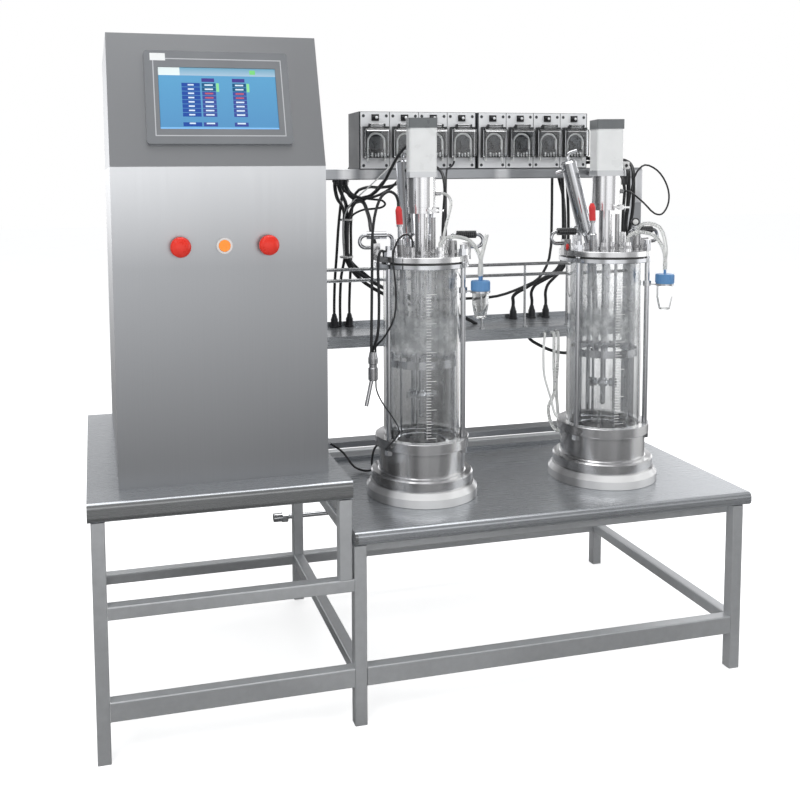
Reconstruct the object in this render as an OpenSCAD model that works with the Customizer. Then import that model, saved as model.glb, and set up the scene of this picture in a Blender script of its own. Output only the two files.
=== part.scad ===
// Bench bioreactor: two stirred glass vessels on a stand with a control cabinet,
// a rack of eight peristaltic pumps and an instrument shelf.

/* [Benches] */
// Width of the bench under the control cabinet
cab_bench_w = 490; // [470:1:560]
// Depth of the bench under the control cabinet
cab_bench_d = 670; // [650:1:760]
// Height of the bench under the control cabinet
cab_bench_h = 490; // [440:1:560]
// Width of the bench under the vessels
ves_bench_w = 876; // [850:1:1000]
// Depth of the bench under the vessels
ves_bench_d = 470; // [460:1:520]
// Height of the bench under the vessels
ves_bench_h = 387; // [340:1:420]
// Gap between the two bench tops
bench_gap = 4; // [2:1:10]
// Height of the rolled front edge of the cabinet's bench
cab_nose_h = 37; // [30:1:45]
// Height of the rolled front edge of the vessels' bench
ves_nose_h = 27; // [22:1:35]
// Thickness of the vessels' bench top behind its front edge
ves_top_t = 13; // [10:1:18]
// Depth of the rolled front edge
nose_d = 20; // [16:1:24]
// Radius of the rolled front edge
nose_r = 10; // [6:1:11]
// Height of the upturned back edge
lip_h = 8; // [5:1:15]
// Thickness of the upturned back edge
lip_t = 3; // [2:0.5:5]

/* [Frame] */
// Side of the square frame tube
tube = 25; // [20:1:30]
// Height of the tall lower front rail
low_rail_h = 38; // [30:1:50]
// Height of the lower rails' top face above the floor
low_rail_top = 117; // [90:1:160]
// Height of the middle rail's top face above the floor
mid_rail_top = 296; // [240:1:300]
// Inset of the outer legs from the bench ends
leg_inset_x = 6; // [2:1:16]
// Inset of the outer right leg from the end of the vessels' bench
end_inset_x = 17; // [8:1:30]
// Inset of the front legs from the bench front
leg_inset_y = 3; // [1:1:8]
// Distance from the front legs' front to the back legs' back
frame_d = 607; // [580:1:640]
// Corner radius of the frame tube
tube_r = 2.5; // [1:0.5:4]

/* [Cabinet] */
// Width of the control cabinet
cab_w = 400; // [380:1:430]
// Depth of the control cabinet
cab_d = 600; // [560:1:640]
// Height of the control cabinet
cab_h = 847; // [800:1:900]
// Height of the fold between the front panel and the sloped panel
cab_fold_h = 596; // [560:1:640]
// How far the sloped panel leans back at its top
cab_lean = 87; // [60:1:110]
// Cabinet's distance from the left end of the bench
cab_x = 58; // [40:1:66]
// Cabinet's distance from the front of the bench
cab_y = 66; // [50:1:90]
// Thickness of the cabinet sheet
cab_t = 2; // [1.5:0.5:3]
// Width of the touch screen's housing
screen_w = 272; // [240:1:290]
// Height of the touch screen's housing
screen_h = 186; // [170:1:196]
// Distance along the slope from the fold to the screen's housing
screen_up = 42; // [36:1:54]
// How far the screen's housing stands proud of the slope
screen_proud = 7; // [4:1:12]
// Width of the display
display_w = 222; // [200:1:230]
// Height of the display
display_h = 124; // [110:1:130]

/* [Buttons] */
// Height of the buttons above the bench
button_z = 449; // [400:1:480]
// Distance between two neighbouring buttons
button_pitch = 82; // [70:1:100]
// Radius of an emergency stop's mushroom head
stop_r = 19; // [16:0.5:22]
// Height of an emergency stop's mushroom head
stop_head = 16; // [12:1:20]
// Radius of an emergency stop's stem
stop_stem_r = 11; // [9:0.5:13]
// Travel of an emergency stop
stop_travel = 4; // [2:0.5:5]
// Radius of the power button
power_r = 11; // [9:0.5:12]
// Outer radius of the collars round the buttons
collar_r = 15; // [14:0.5:18]
// Thickness of the collars
collar_h = 5; // [3:0.5:8]

/* [Rack] */
// Distance from the bench front to the front of the rack
rack_y = 445; // [435:1:460]
// Height of the pump beam's top face above the vessels' bench
beam_top = 696; // [640:1:740]
// Height of the bottom rail's top face above the vessels' bench
bottom_rail_top = 52; // [45:1:70]
// Height of the bottom rail
bottom_rail_h = 16; // [12:1:25]
// Depth of the bottom rail
bottom_rail_d = 40; // [30:1:50]
// Height of the shelf's top face above the vessels' bench
shelf_top = 304; // [270:1:340]
// Depth of the shelf
shelf_d = 155; // [130:1:165]
// Height of the shelf's front lip
shelf_lip = 28; // [27:1:35]
// Height of the shelf's back lip
shelf_back = 12; // [8:1:20]
// Thickness of the shelf sheet
shelf_t = 2; // [1.5:0.5:3]
// Radius of the railing's rods
rod_r = 4; // [3:0.5:5]
// Height of the railing's upper rod above the shelf
railing_h = 157; // [130:1:180]
// Distance between the railing's two rods
railing_gap = 26; // [18:1:40]
// Distance between two posts of the railing
post_pitch = 114; // [100:1:130]

/* [Pumps] */
// Width of one pump's front panel
pump_w = 71.5; // [70:0.5:74]
// Height of a pump case
pump_h = 133; // [125:1:150]
// Depth of a pump case
case_d = 95; // [90:1:110]
// Wall of a pump case
case_t = 2; // [1.5:0.5:3]
// Gap between the two pump cases
case_gap = 4; // [2:1:10]
// Distance from the rack's left upright to the first pump case
case_x = 105; // [80:1:120]
// Thickness of a pump's front panel
panel_t = 2; // [1.5:0.5:3]
// Width of a pump head
head_w = 60; // [56:1:62]
// Height of a pump head
head_h = 72; // [68:1:76]
// Depth of a pump head
head_d = 15; // [14:1:18]
// Height of the pump head's middle above the case's bottom
head_z = 62; // [58:1:66]
// Radius of the raceway in a pump head
race_r = 24; // [23:0.5:25]
// Depth of the raceway in a pump head
race_d = 11; // [10:0.5:12]
// Outer radius of a pump's tube
pump_tube_r = 3; // [2.5:0.25:3.5]
// Wall of a pump's tube
pump_tube_t = 1; // [0.5:0.1:1.2]
// Radius of a pump roller
roller_r = 4.5; // [4:0.25:5]
// Radius of a pump's drive shaft
spindle_r = 4; // [3:0.25:5]
// Depth of the clear cover of a pump head
cover_d = 12; // [10:1:16]
// Wall of the clear cover
cover_t = 2; // [1.5:0.25:2.5]
// Radius of the clear cover's hinge pin
hinge_pin_r = 1.5; // [1.25:0.25:2]
// Wall of the clear cover's hinge knuckle
knuckle_t = 1.5; // [1.25:0.25:2]

/* [Vessels] */
// Distance from the left end of the vessels' bench to the first vessel's axis
ves_x = 204; // [180:1:230]
// Distance from the bench front to the vessels' axes
ves_y = 204; // [190:1:220]
// Distance between the two vessels' axes
ves_pitch = 432; // [400:1:470]
// Outer radius of the locating ring
ring_r = 119; // [116:1:125]
// Height of the locating ring
ring_h = 29; // [24:1:36]
// Height of the locating ring's upright outer wall
ring_wall_h = 18; // [12:1:20]
// Radius of the locating ring's top face
ring_top_r = 111; // [110:1:115]
// Radius of the base cup's step
step_r = 109; // [107:1:110]
// Height of the base cup's step
step_h = 24; // [18:1:30]
// Radius of the base cup's wall
cup_r = 92; // [90:1:95]
// Height of the base cup's wall between step and flange
cup_h = 54; // [40:1:70]
// Radius of the base cup's spigot inside the locating ring
spigot_r = 96; // [94:1:98]
// Radius of the flanges and of the head plate
flange_r = 100; // [99:1:104]
// Height of the base cup's flange
flange_h = 21; // [18:1:26]
// Radius of the base cup's hollow
well_r = 74; // [70:1:75]
// Thickness of the base cup's floor
well_floor = 14; // [10:1:18]
// Outer radius of the glass tube
glass_r = 81; // [80:0.5:83]
// Wall of the glass tube
glass_t = 5; // [4:0.5:6]
// Length of the glass tube
glass_l = 372; // [330:1:400]
// Depth of the seats that hold the glass tube
seat_d = 6; // [4:1:8]
// Height of the upper clamp ring
clamp_h = 10; // [9:1:14]
// Thickness of the head gasket
gasket_t = 3; // [2:0.5:4]
// Thickness of the head plate
plate_t = 12; // [10:1:16]
// Radius of the circle that the tie rods stand on
tie_circle_r = 91; // [89:0.5:92]
// Radius of a tie rod
tie_r = 5.5; // [4.5:0.5:6]
// Height of a tie rod's cap nut
tie_nut_h = 22; // [16:1:28]

/* [Drive] */
// Radius of the drive column
column_r = 14; // [12:0.5:16]
// Height of the drive column between its flanges
column_h = 82; // [60:1:90]
// Radius of the drive column's flanges
ferrule_r = 24; // [22:1:26]
// Height of one flange of the drive column
ferrule_h = 6; // [5:1:8]
// Radius of the clamp round the flanges
tri_clamp_r = 28; // [27:1:30]
// Radius of the coupling housing
housing_r = 30; // [29:0.5:31]
// Height of the coupling housing
housing_h = 62; // [55:1:75]
// Wall of the coupling housing
housing_t = 3; // [2:0.5:5]
// Side of the square motor
motor_w = 60; // [56:1:64]
// Height of the motor's mounting flange
motor_flange_h = 12; // [8:1:15]
// Height of the motor's body
motor_h = 90; // [80:1:110]
// Height of the motor's end cap
motor_cap_h = 21; // [15:1:26]
// Angle that the motors are turned by
motor_turn = -12; // [-20:1:20]
// Radius of the stirrer's shaft
shaft_r = 6; // [5:0.5:7]
// Radius of the coupling on the stirrer's shaft
coupling_r = 14; // [12:0.5:18]
// Radius of an impeller
impeller_r = 34; // [30:1:40]
// Height of an impeller's blades
blade_h = 14; // [10:1:18]
// Thickness of an impeller's blades
blade_t = 2; // [1.5:0.5:3]
// Height of the lower impeller above the vessel's floor
impeller_low = 197; // [150:1:210]
// Distance between the two impellers
impeller_pitch = 132; // [100:1:150]
// Outer radius of the baffle cage
cage_r = 74; // [70:0.5:74.5]
// Width of a baffle
baffle_w = 12; // [8:1:16]
// Thickness of a baffle
baffle_t = 2; // [1.5:0.5:3]
// Height of the cage's middle ring
cage_ring_h = 16; // [10:1:20]

/* [Fittings] */
// Radius of a sensor probe
probe_r = 6; // [5:0.5:6.5]
// Radius of a probe's cap
probe_cap_r = 7; // [6.5:0.5:8]
// Length of a probe above the head plate
probe_up = 62; // [50:1:80]
// Length of a probe below the head plate
probe_down = 230; // [180:1:240]
// Length of a probe's cap
probe_cap_h = 42; // [30:1:50]
// Radius of the exhaust condenser
condenser_r = 17; // [15:1:19]
// Length of the exhaust condenser
condenser_l = 160; // [140:1:180]
// Lean of the exhaust condenser
condenser_lean = 16; // [10:1:18]
// Radius of a handle's grip
grip_r = 8; // [7:0.5:9]
// Length of a handle's grip
grip_l = 42; // [36:1:44]
// Height of a handle's grip above the head plate
grip_z = 41; // [36:1:50]
// Radius of a handle's rod
handle_rod_r = 4; // [3:0.5:5]
// Radius of a sample bottle
bottle_r = 17; // [15:0.5:18]
// Height of a sample bottle below its cap
bottle_h = 57; // [50:1:70]
// Wall of a sample bottle
bottle_t = 1.5; // [1:0.25:2.5]
// Radius of a bottle's cap
cap_r = 20; // [19:0.5:22]
// Height of a bottle's cap
cap_h = 21; // [18:1:28]
// Depth of the bottle brackets below the head plate's top face
bracket_drop = 73; // [60:1:90]
// Radius of the water pipe
pipe_r = 6; // [5:0.5:8]

/* [Clearances] */
// Gap at a welded joint between two frame tubes
weld_gap = 0.25; // [0.1:0.05:0.5]
// Gap between two pieces that are seated on each other
seat_gap = 0.3; // [0.2:0.05:0.5]
// Radial clearance of a shaft in its bearing
run_gap = 0.05; // [0.02:0.01:0.1]

/* [Hidden] */
$fn = 64;
total_w = cab_bench_w + bench_gap + ves_bench_w;
total_d = cab_bench_d;
PUMPS = 8;
PUMPS_PER_CASE = 4;

// Bench and frame
ves_bench_x = cab_bench_w + bench_gap;
left_leg_x = leg_inset_x;
mid_leg_x = ves_bench_x - 2;
right_leg_x = total_w - end_inset_x - tube;
front_y = leg_inset_y;
back_y = leg_inset_y + frame_d - tube;
cab_under = cab_bench_h - cab_nose_h;
ves_under = ves_bench_h - ves_top_t;
nose_under = ves_bench_h - ves_nose_h;
apron_h = 33;

// Cabinet
cab_back = cab_y + cab_d;
slope_angle = atan2(cab_lean, cab_h - cab_fold_h);
button_mid_x = cab_x + cab_w / 2 + 4;

// Rack
rack_left = ves_bench_x + 6;
rack_right = total_w - tube;
beam_z = ves_bench_h + beam_top;
shelf_z = ves_bench_h + shelf_top;
shelf_y = rack_y + 1;
shelf_back_y = shelf_y + shelf_d;
span_x = rack_left + tube;
span_w = rack_right - span_x;
railing_y = rack_y + 8;
post_in = 188;

// Pumps
case_w = PUMPS_PER_CASE * pump_w + 2 * case_t;
rear_beam_y = rack_y + case_d - tube;
panel_y = rack_y - panel_t;
head_y = panel_y - head_d;
pump_mid_z = beam_z + head_z;
hinge_y = head_y - hinge_pin_r - knuckle_t + 1.5;
hinge_z = pump_mid_z + head_h / 2 + hinge_pin_r + knuckle_t + 0.5;
tube_circle_r = race_r - pump_tube_r - 0.4;
roller_circle_r = tube_circle_r - pump_tube_r - roller_r - seat_gap;
function pump_x(i) = span_x + case_x + case_t + pump_w * (i + 0.5)
  + floor(i / PUMPS_PER_CASE) * (2 * case_t + case_gap);

// Vessels, measured up from the vessels' bench
vessel_x = [ves_bench_x + ves_x, ves_bench_x + ves_x + ves_pitch];
step_z = ring_h;
wall_z = step_z + step_h;
cup_flange_z = wall_z + cup_h;
cup_top = cup_flange_z + flange_h;
glass_z = cup_top - seat_d + seat_gap;
glass_top = glass_z + glass_l;
clamp_z = glass_top + seat_gap - seat_d;
gasket_z = clamp_z + clamp_h;
plate_z = gasket_z + gasket_t;
plate_top = plate_z + plate_t;
well_z = well_floor + 2;
column_top = plate_top + ferrule_h + column_h;
housing_z = column_top + 2 * ferrule_h;
motor_z = housing_z + housing_h;
motor_top = motor_z + motor_flange_h + motor_h + motor_cap_h;
shaft_low = well_z + impeller_low - 45;
coupling_z = housing_z + 10;
coupling_h = 28;
tie_angles = [-67, 53, 173];
tie_foot = cup_flange_z - tie_nut_h / 2;
probe_points = [[[-53, -32], [36, 48]], [[-48, -36], [36, 48]]];
probe_tilt = 6;
condenser_foot = [-16, 40];
condenser_turns = [-8, 90];
handle_turns = [-12, 0];
handle_foot = 62;
handle_bend = 10;
handle_end = handle_foot + handle_bend + 46;
handle_turn_r = 13;
lug_in = 88;
lug_out = 104;
lug_w = 16;
lug_h = 24;
bracket_z = plate_top - bracket_drop;
bracket_turn = tie_angles[1];
bottle_out = 128;
barb_x = 7;
barb_h = 10;
socket_angle = -150;
socket_z = wall_z + cup_h / 2;
socket_out = 16;
lead_angle = -58;
lead_z = cup_flange_z + flange_h / 2;
outlet_z = housing_z + housing_h / 2 - 3;
outlet_out = 12;
plug_out = 12;
plug_up = 40;

// ---------------------------------------------------------------- helpers

module placed() {
  translate([-total_w / 2, -total_d / 2, 0])
    children();
}

module at_vessel(i) {
  placed()
    translate([vessel_x[i], ves_y, ves_bench_h])
      children();
}

module rounded_rect(w, h, r) {
  translate([r, 0])
    square([w - 2 * r, h]);
  translate([0, r])
    square([w, h - 2 * r]);
  for (x = [r, w - r], y = [r, h - r])
    translate([x, y])
      circle(r);
}

module post(x, y, z, h) {
  translate([x, y, z])
    linear_extrude(h)
      rounded_rect(tube, tube, tube_r);
}

module beam_x(x, y, z, l, d = tube, h = tube) {
  translate([x + weld_gap, y, z])
    rotate([90, 0, 90])
      linear_extrude(l - 2 * weld_gap)
        rounded_rect(d, h, tube_r);
}

module beam_y(x, y, z, l, w = tube, h = tube) {
  translate([x, y + l - weld_gap, z])
    rotate([90, 0, 0])
      linear_extrude(l - 2 * weld_gap)
        rounded_rect(w, h, tube_r);
}

module rod(a, b, r) {
  d = b - a;
  l = norm(d);
  translate(a)
    rotate([0, acos(d[2] / l), atan2(d[1], d[0])])
      cylinder(h = l, r = r);
}

// A plain tube swept through a list of points
function unit(v) = v / norm(v);
function tangent(p, i) = unit(p[min(i + 1, len(p) - 1)] - p[max(i - 1, 0)]);
function side_dir(t) = abs(t[2]) < 0.9 ? unit(cross(t, [0, 0, 1])) : unit(cross(t, [0, 1, 0]));
function carry(u, t) = unit(u - (u * t) * t);
function frames(p, i = 0, u = undef) =
  i >= len(p) ? [] :
  let (t = tangent(p, i), v = i == 0 ? side_dir(t) : carry(u, t))
  concat([[v, cross(t, v)]], frames(p, i + 1, v));

module swept(p, r, sides = 8) {
  f = frames(p);
  n = len(p);
  points = [
    for (i = [0 : n - 1], k = [0 : sides - 1])
      p[i] + r * (cos(360 * k / sides) * f[i][0] + sin(360 * k / sides) * f[i][1])
  ];
  walls = [
    for (i = [0 : n - 2], k = [0 : sides - 1])
      let (a = i * sides + k, b = i * sides + (k + 1) % sides)
      each [[a, a + sides, b], [b, a + sides, b + sides]]
  ];
  start = [for (k = [0 : sides - 1]) k];
  end = [for (k = [sides - 1 : -1 : 0]) (n - 1) * sides + k];
  polyhedron(points, concat(walls, [start, end]));
}

// ---------------------------------------------------------------- stand

module bench_frame() {
  back_rail_y = back_y;
  side_l = back_y - front_y - tube;
  left_bay_w = mid_leg_x - left_leg_x - tube;
  right_bay_x = mid_leg_x + tube;
  right_bay_w = right_leg_x - right_bay_x;
  short_post_x = cab_bench_w - tube - 2;
  cab_rail_z = cab_under - tube;
  ves_rail_z = ves_under - tube;
  color("lightslategray")
  placed() {
    // legs
    post(left_leg_x, front_y, 0, cab_under);
    post(left_leg_x, back_y, 0, cab_under);
    post(mid_leg_x, front_y, 0, nose_under);
    post(mid_leg_x, back_y, 0, cab_under);
    post(right_leg_x, front_y, 0, nose_under);
    post(right_leg_x, back_y, 0, ves_under);
    post(short_post_x, front_y, mid_rail_top + weld_gap, cab_under - mid_rail_top - weld_gap);
    // lower rails
    beam_x(left_leg_x + tube, front_y, low_rail_top - low_rail_h, left_bay_w, tube, low_rail_h);
    beam_x(right_bay_x, front_y, low_rail_top - low_rail_h, right_bay_w, tube, low_rail_h);
    beam_x(left_leg_x + tube, back_rail_y, low_rail_top - tube, left_bay_w);
    beam_x(right_bay_x, back_rail_y, low_rail_top - tube, right_bay_w);
    for (x = [left_leg_x, mid_leg_x, right_leg_x])
      beam_y(x, front_y + tube, low_rail_top - tube, side_l);
    // middle rail
    beam_x(left_leg_x + tube, front_y, mid_rail_top - tube, left_bay_w);
    // top rails of the cabinet's bench
    beam_y(left_leg_x, front_y + tube, cab_rail_z, side_l);
    beam_y(short_post_x, front_y + tube, cab_rail_z, side_l);
    beam_x(left_leg_x + tube, back_rail_y, cab_rail_z, left_bay_w);
    // top rails of the vessels' bench
    beam_x(right_bay_x, nose_d + 1, ves_under - apron_h, right_bay_w, tube, apron_h);
    beam_x(right_bay_x, back_rail_y, ves_rail_z, right_bay_w);
    for (x = [mid_leg_x, right_leg_x])
      beam_y(x, front_y + tube, ves_rail_z, side_l);
  }
}

module rolled_nose(h) {
  translate([nose_r, 0])
    square([nose_d - nose_r, h]);
  translate([0, nose_r])
    square([nose_r, h - 2 * nose_r]);
  for (z = [nose_r, h - nose_r])
    translate([nose_r, z])
      circle(nose_r);
}

module bench_top(w, d, h, t, nose_h, lip) {
  rotate([90, 0, 90])
    linear_extrude(w) {
      translate([0, h - nose_h])
        rolled_nose(nose_h);
      translate([nose_d - 1, h - t])
        square([d - nose_d + 1, t]);
      if (lip > 0)
        translate([d - lip_t, h - t])
          square([lip_t, t + lip]);
    }
}

module cabinet_bench_top() {
  color("slategray")
  placed()
    bench_top(cab_bench_w, cab_bench_d, cab_bench_h, cab_nose_h, cab_nose_h, 0);
}

module vessel_bench_top() {
  color("slategray")
  placed()
    difference() {
      translate([ves_bench_x, 0, 0])
        bench_top(ves_bench_w, ves_bench_d, ves_bench_h, ves_top_t, ves_nose_h, lip_h);
      for (x = [rack_left, rack_right])
        translate([x - seat_gap, rack_y - seat_gap, ves_bench_h])
          cube([tube + 2 * seat_gap, 2 * tube, 2 * lip_h]);
    }
}

// ---------------------------------------------------------------- cabinet

module cabinet_side(inset, back) {
  s = inset * tan((90 - slope_angle) / 2);
  k = inset * tan(slope_angle / 2);
  polygon([
    [inset, inset],
    [inset, cab_fold_h - k],
    [cab_lean + s, cab_h - inset],
    [back, cab_h - inset],
    [back, inset]
  ]);
}

module at_cabinet() {
  placed()
    translate([cab_x, cab_y, cab_bench_h])
      children();
}

// Frame on the sloped panel: X to the right, Y up the slope, Z out of the panel
module on_slope() {
  at_cabinet()
    translate([0, 0, cab_fold_h])
      rotate([90 - slope_angle, 0, 0])
        children();
}

screen_x = (cab_w - screen_w) / 2 + 4;
display_x = screen_x + (screen_w - display_w) / 2;
display_up = screen_up + (screen_h - display_h) / 2 - 2;
screen_back = 12;
gear_in = 40;
gear_back = 60;
gear_drop = 160;

module cabinet_shell() {
  color("silver")
  difference() {
    at_cabinet()
      difference() {
        rotate([90, 0, 90])
          linear_extrude(cab_w)
            cabinet_side(0, cab_d);
        translate([cab_t, 0, 0])
          rotate([90, 0, 90])
            linear_extrude(cab_w - 2 * cab_t)
              cabinet_side(cab_t, cab_d + cab_t);
        for (i = [-1 : 1])
          translate([button_mid_x - cab_x + i * button_pitch, -1, button_z])
            rotate([-90, 0, 0])
              cylinder(h = cab_t + 2, r = stop_stem_r + 1);
      }
    on_slope()
      translate([screen_x + screen_back, screen_up + screen_back, -3 * cab_t])
        cube([screen_w - 2 * screen_back, screen_h - 2 * screen_back, 6 * cab_t]);
  }
}

panel_inset = 1;
module cabinet_rear_panel() {
  slots = 9;
  slot_pitch = 14;
  slot_w = 120;
  slot_h = 5;
  gland_r = 9;
  color("silver")
  at_cabinet()
    difference() {
      translate([cab_t + seat_gap, cab_d - cab_t - panel_inset, cab_t + seat_gap])
        cube([cab_w - 2 * (cab_t + seat_gap), cab_t, cab_h - 2 * (cab_t + seat_gap)]);
      // louvre slots, high and low
      for (z = [cab_h * 0.16, cab_h * 0.72], i = [0 : slots - 1])
        translate([(cab_w - slot_w) / 2, cab_d - 2 * cab_t - panel_inset, z + i * slot_pitch])
          cube([slot_w, 3 * cab_t, slot_h]);
      // cable glands' holes
      for (x = [60 : 35 : 130])
        translate([x, cab_d - 2 * cab_t - panel_inset, 50])
          rotate([-90, 0, 0])
            cylinder(h = 3 * cab_t, r = gland_r);
    }
}

module control_gear() {
  plate_y = cab_d - gear_back;
  plate_w = cab_w - 2 * gear_in;
  plate_h = cab_h - gear_drop;
  foot_z = cab_t + seat_gap;
  rail_y = plate_y - 8;
  color("gainsboro")
  at_cabinet() {
    // mounting plate on its two feet
    translate([gear_in, plate_y, foot_z])
      cube([plate_w, 3, plate_h]);
    for (x = [60, cab_w - 90])
      translate([x, plate_y - 40, foot_z])
        cube([30, 40, 3]);
    // power supply, controller with its modules, drives and relays on their rails
    for (m = [
      [70, 560, 60, 110, 125], [140, 560, 110, 90, 100], [256, 560, 40, 90, 100],
      [300, 560, 40, 90, 100], [70, 380, 50, 140, 120], [130, 380, 50, 140, 120],
      [200, 400, 120, 80, 70], [70, 250, 250, 50, 55], [70, 120, 130, 80, 90],
      [220, 120, 100, 80, 110]
    ])
      translate([m[0], plate_y - m[4] - 1, m[1]])
        cube([m[2], m[4] + 1.5, m[3]]);
  }
}

module screen_housing() {
  lip = 4;
  r = 6;
  color("dimgray")
  on_slope()
    difference() {
      union() {
        translate([screen_x, screen_up, 0])
          linear_extrude(screen_proud)
            rounded_rect(screen_w, screen_h, r);
        translate([screen_x + screen_back + seat_gap, screen_up + screen_back + seat_gap, -30])
          cube([screen_w - 2 * (screen_back + seat_gap),
             screen_h - 2 * (screen_back + seat_gap), 30.5]);
      }
      // window for the display
      translate([display_x, display_up, screen_proud - lip])
        cube([display_w, display_h, lip + 1]);
    }
}

module screen_glass() {
  color("royalblue")
  on_slope()
    translate([display_x + seat_gap, display_up + seat_gap, screen_proud - 4])
      cube([display_w - 2 * seat_gap, display_h - 2 * seat_gap, 3]);
}

module at_button(i) {
  at_cabinet()
    translate([button_mid_x - cab_x + i * button_pitch, 0, button_z])
      rotate([90, 0, 0])
        children();
}

// Mushroom head on a stem, pushed along its own axis
module emergency_stop(i) {
  neck = collar_h + stop_travel + 1;
  edge = 3;
  color("crimson")
  at_button(i)
    rotate_extrude() {
      translate([0, -14])
        square([stop_stem_r - 1, 14 + neck + 1]);
      translate([0, neck])
        square([stop_r - edge, stop_head * 0.6]);
      translate([stop_r - edge, neck + edge])
        circle(edge);
      translate([0, neck + edge])
        square([stop_r, stop_head * 0.25]);
      intersection() {
        translate([0, neck + edge + stop_head * 0.25])
          scale([stop_r, stop_head * 0.75 - edge])
            circle(1);
        translate([0, neck + edge + stop_head * 0.25])
          square([stop_r, stop_head]);
      }
    }
}

module emergency_stop_left() {
  emergency_stop(-1);
}

module emergency_stop_right() {
  emergency_stop(1);
}

module power_button() {
  color("orange")
  at_button(0)
    rotate_extrude() {
      translate([0, -14])
        square([stop_stem_r - 1, 14]);
      translate([0, -1])
        square([power_r - 1, collar_h + 4]);
      translate([0, 0])
        square([power_r, collar_h + 2]);
      translate([power_r - 1, collar_h + 2])
        circle(1);
    }
}

module button_collars() {
  color("lightgray")
  for (i = [-1 : 1])
    at_button(i)
      rotate_extrude() {
        translate([(i == 0 ? power_r : stop_stem_r) + seat_gap, seat_gap])
          square([collar_r - (i == 0 ? power_r : stop_stem_r) - seat_gap - 1, collar_h]);
        translate([collar_r - 2, seat_gap])
          square([2, collar_h - 1]);
        // nut behind the sheet
        translate([stop_stem_r - 1 + seat_gap, -cab_t - seat_gap - 4])
          square([5, 4]);
      }
}

// ---------------------------------------------------------------- rack

module rack_frame() {
  arm_l = case_d - 2 * tube;
  shelf_arm_z = shelf_z - shelf_t - tube;
  shelf_arm_l = shelf_back_y - rack_y - tube - shelf_t - 1;
  color("gray")
  placed() {
    for (x = [rack_left, rack_right]) {
      post(x, rack_y, ves_bench_h, beam_top);
      beam_y(x, rack_y + tube, beam_z - tube, arm_l + tube);
    }
    beam_x(span_x, rack_y, beam_z - tube, span_w);
    beam_x(span_x, rear_beam_y, beam_z - tube, span_w);
    beam_x(span_x, rack_y, ves_bench_h + bottom_rail_top - bottom_rail_h, span_w,
       bottom_rail_d, bottom_rail_h);
    // arms that carry the shelf
    for (x = [rack_left, rack_right])
      beam_y(x, rack_y + tube, shelf_arm_z, shelf_arm_l);
    // glands of the two head cables on the beam
    for (i = [0, 1])
      translate([vessel_x[i] + gland_dx, rack_y - gland_out, beam_z - gland_drop])
        rotate([-90, 0, 0])
          cylinder(h = gland_out + 2, r = 7);
    // crossbar that ties the arms together under the shelf
    beam_x(span_x, shelf_back_y - 2 * tube - shelf_t, shelf_arm_z, span_w);
  }
}

module instrument_shelf() {
  side_gap = seat_gap;
  inner_x = span_x + side_gap;
  inner_w = span_w - 2 * side_gap;
  color("slategray")
  placed() {
    difference() {
      union() {
        // hose barb on the front lip
        translate([hose_x, shelf_y - barb_h + 2, shelf_z - shelf_lip / 2])
          rotate([-90, 0, 0])
            cylinder(h = barb_h, r = 4);
        translate([inner_x, shelf_y, shelf_z - shelf_t])
          cube([inner_w, shelf_d, shelf_t]);
        translate([inner_x, shelf_y, shelf_z - shelf_lip])
          cube([inner_w, shelf_t, shelf_lip]);
        translate([inner_x, shelf_back_y - shelf_t, shelf_z - shelf_lip])
          cube([inner_w, shelf_t, shelf_lip + shelf_back]);
      }
      // seats of the cable connectors
      for (x = connector_x)
        translate([x, connector_y, shelf_z - 2 * shelf_t])
          cylinder(h = 3 * shelf_t, r = connector_r - 2);
    }
  }
}

connector_at = [77, 116, 560, 613, 653];
connector_x = [for (d = connector_at) span_x + d];
connector_y = shelf_back_y - 16;
connector_r = 9;
connector_h = 28;

module cable_connectors() {
  color("black")
  placed()
    for (x = connector_x)
      translate([x, connector_y, shelf_z])
        rotate_extrude() {
          translate([0, -12])
            square([connector_r - 2 - seat_gap, 14]);
          translate([0, seat_gap])
            square([connector_r + 2, 4]);
          translate([0, 4])
            square([connector_r, connector_h - 10]);
          polygon([
            [0, connector_h - 6], [connector_r - 1, connector_h - 6],
            [connector_r - 4, connector_h + 6], [0, connector_h + 6]
          ]);
        }
}

module shelf_railing() {
  posts = floor((span_w - post_in) / post_pitch) + 1;
  first = span_x + post_in;
  color("silver")
  placed() {
    for (z = [shelf_z + railing_h, shelf_z + railing_h - railing_gap])
      translate([span_x + seat_gap, railing_y, z])
        rotate([0, 90, 0])
          cylinder(h = span_w - 2 * seat_gap, r = rod_r);
    for (i = [0 : posts - 1])
      translate([first + i * post_pitch, railing_y, shelf_z]) {
        cylinder(h = railing_h + 2, r = rod_r - 0.8);
        cylinder(h = 4, r = rod_r + 3);
      }
  }
}

// ---------------------------------------------------------------- pumps

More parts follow.
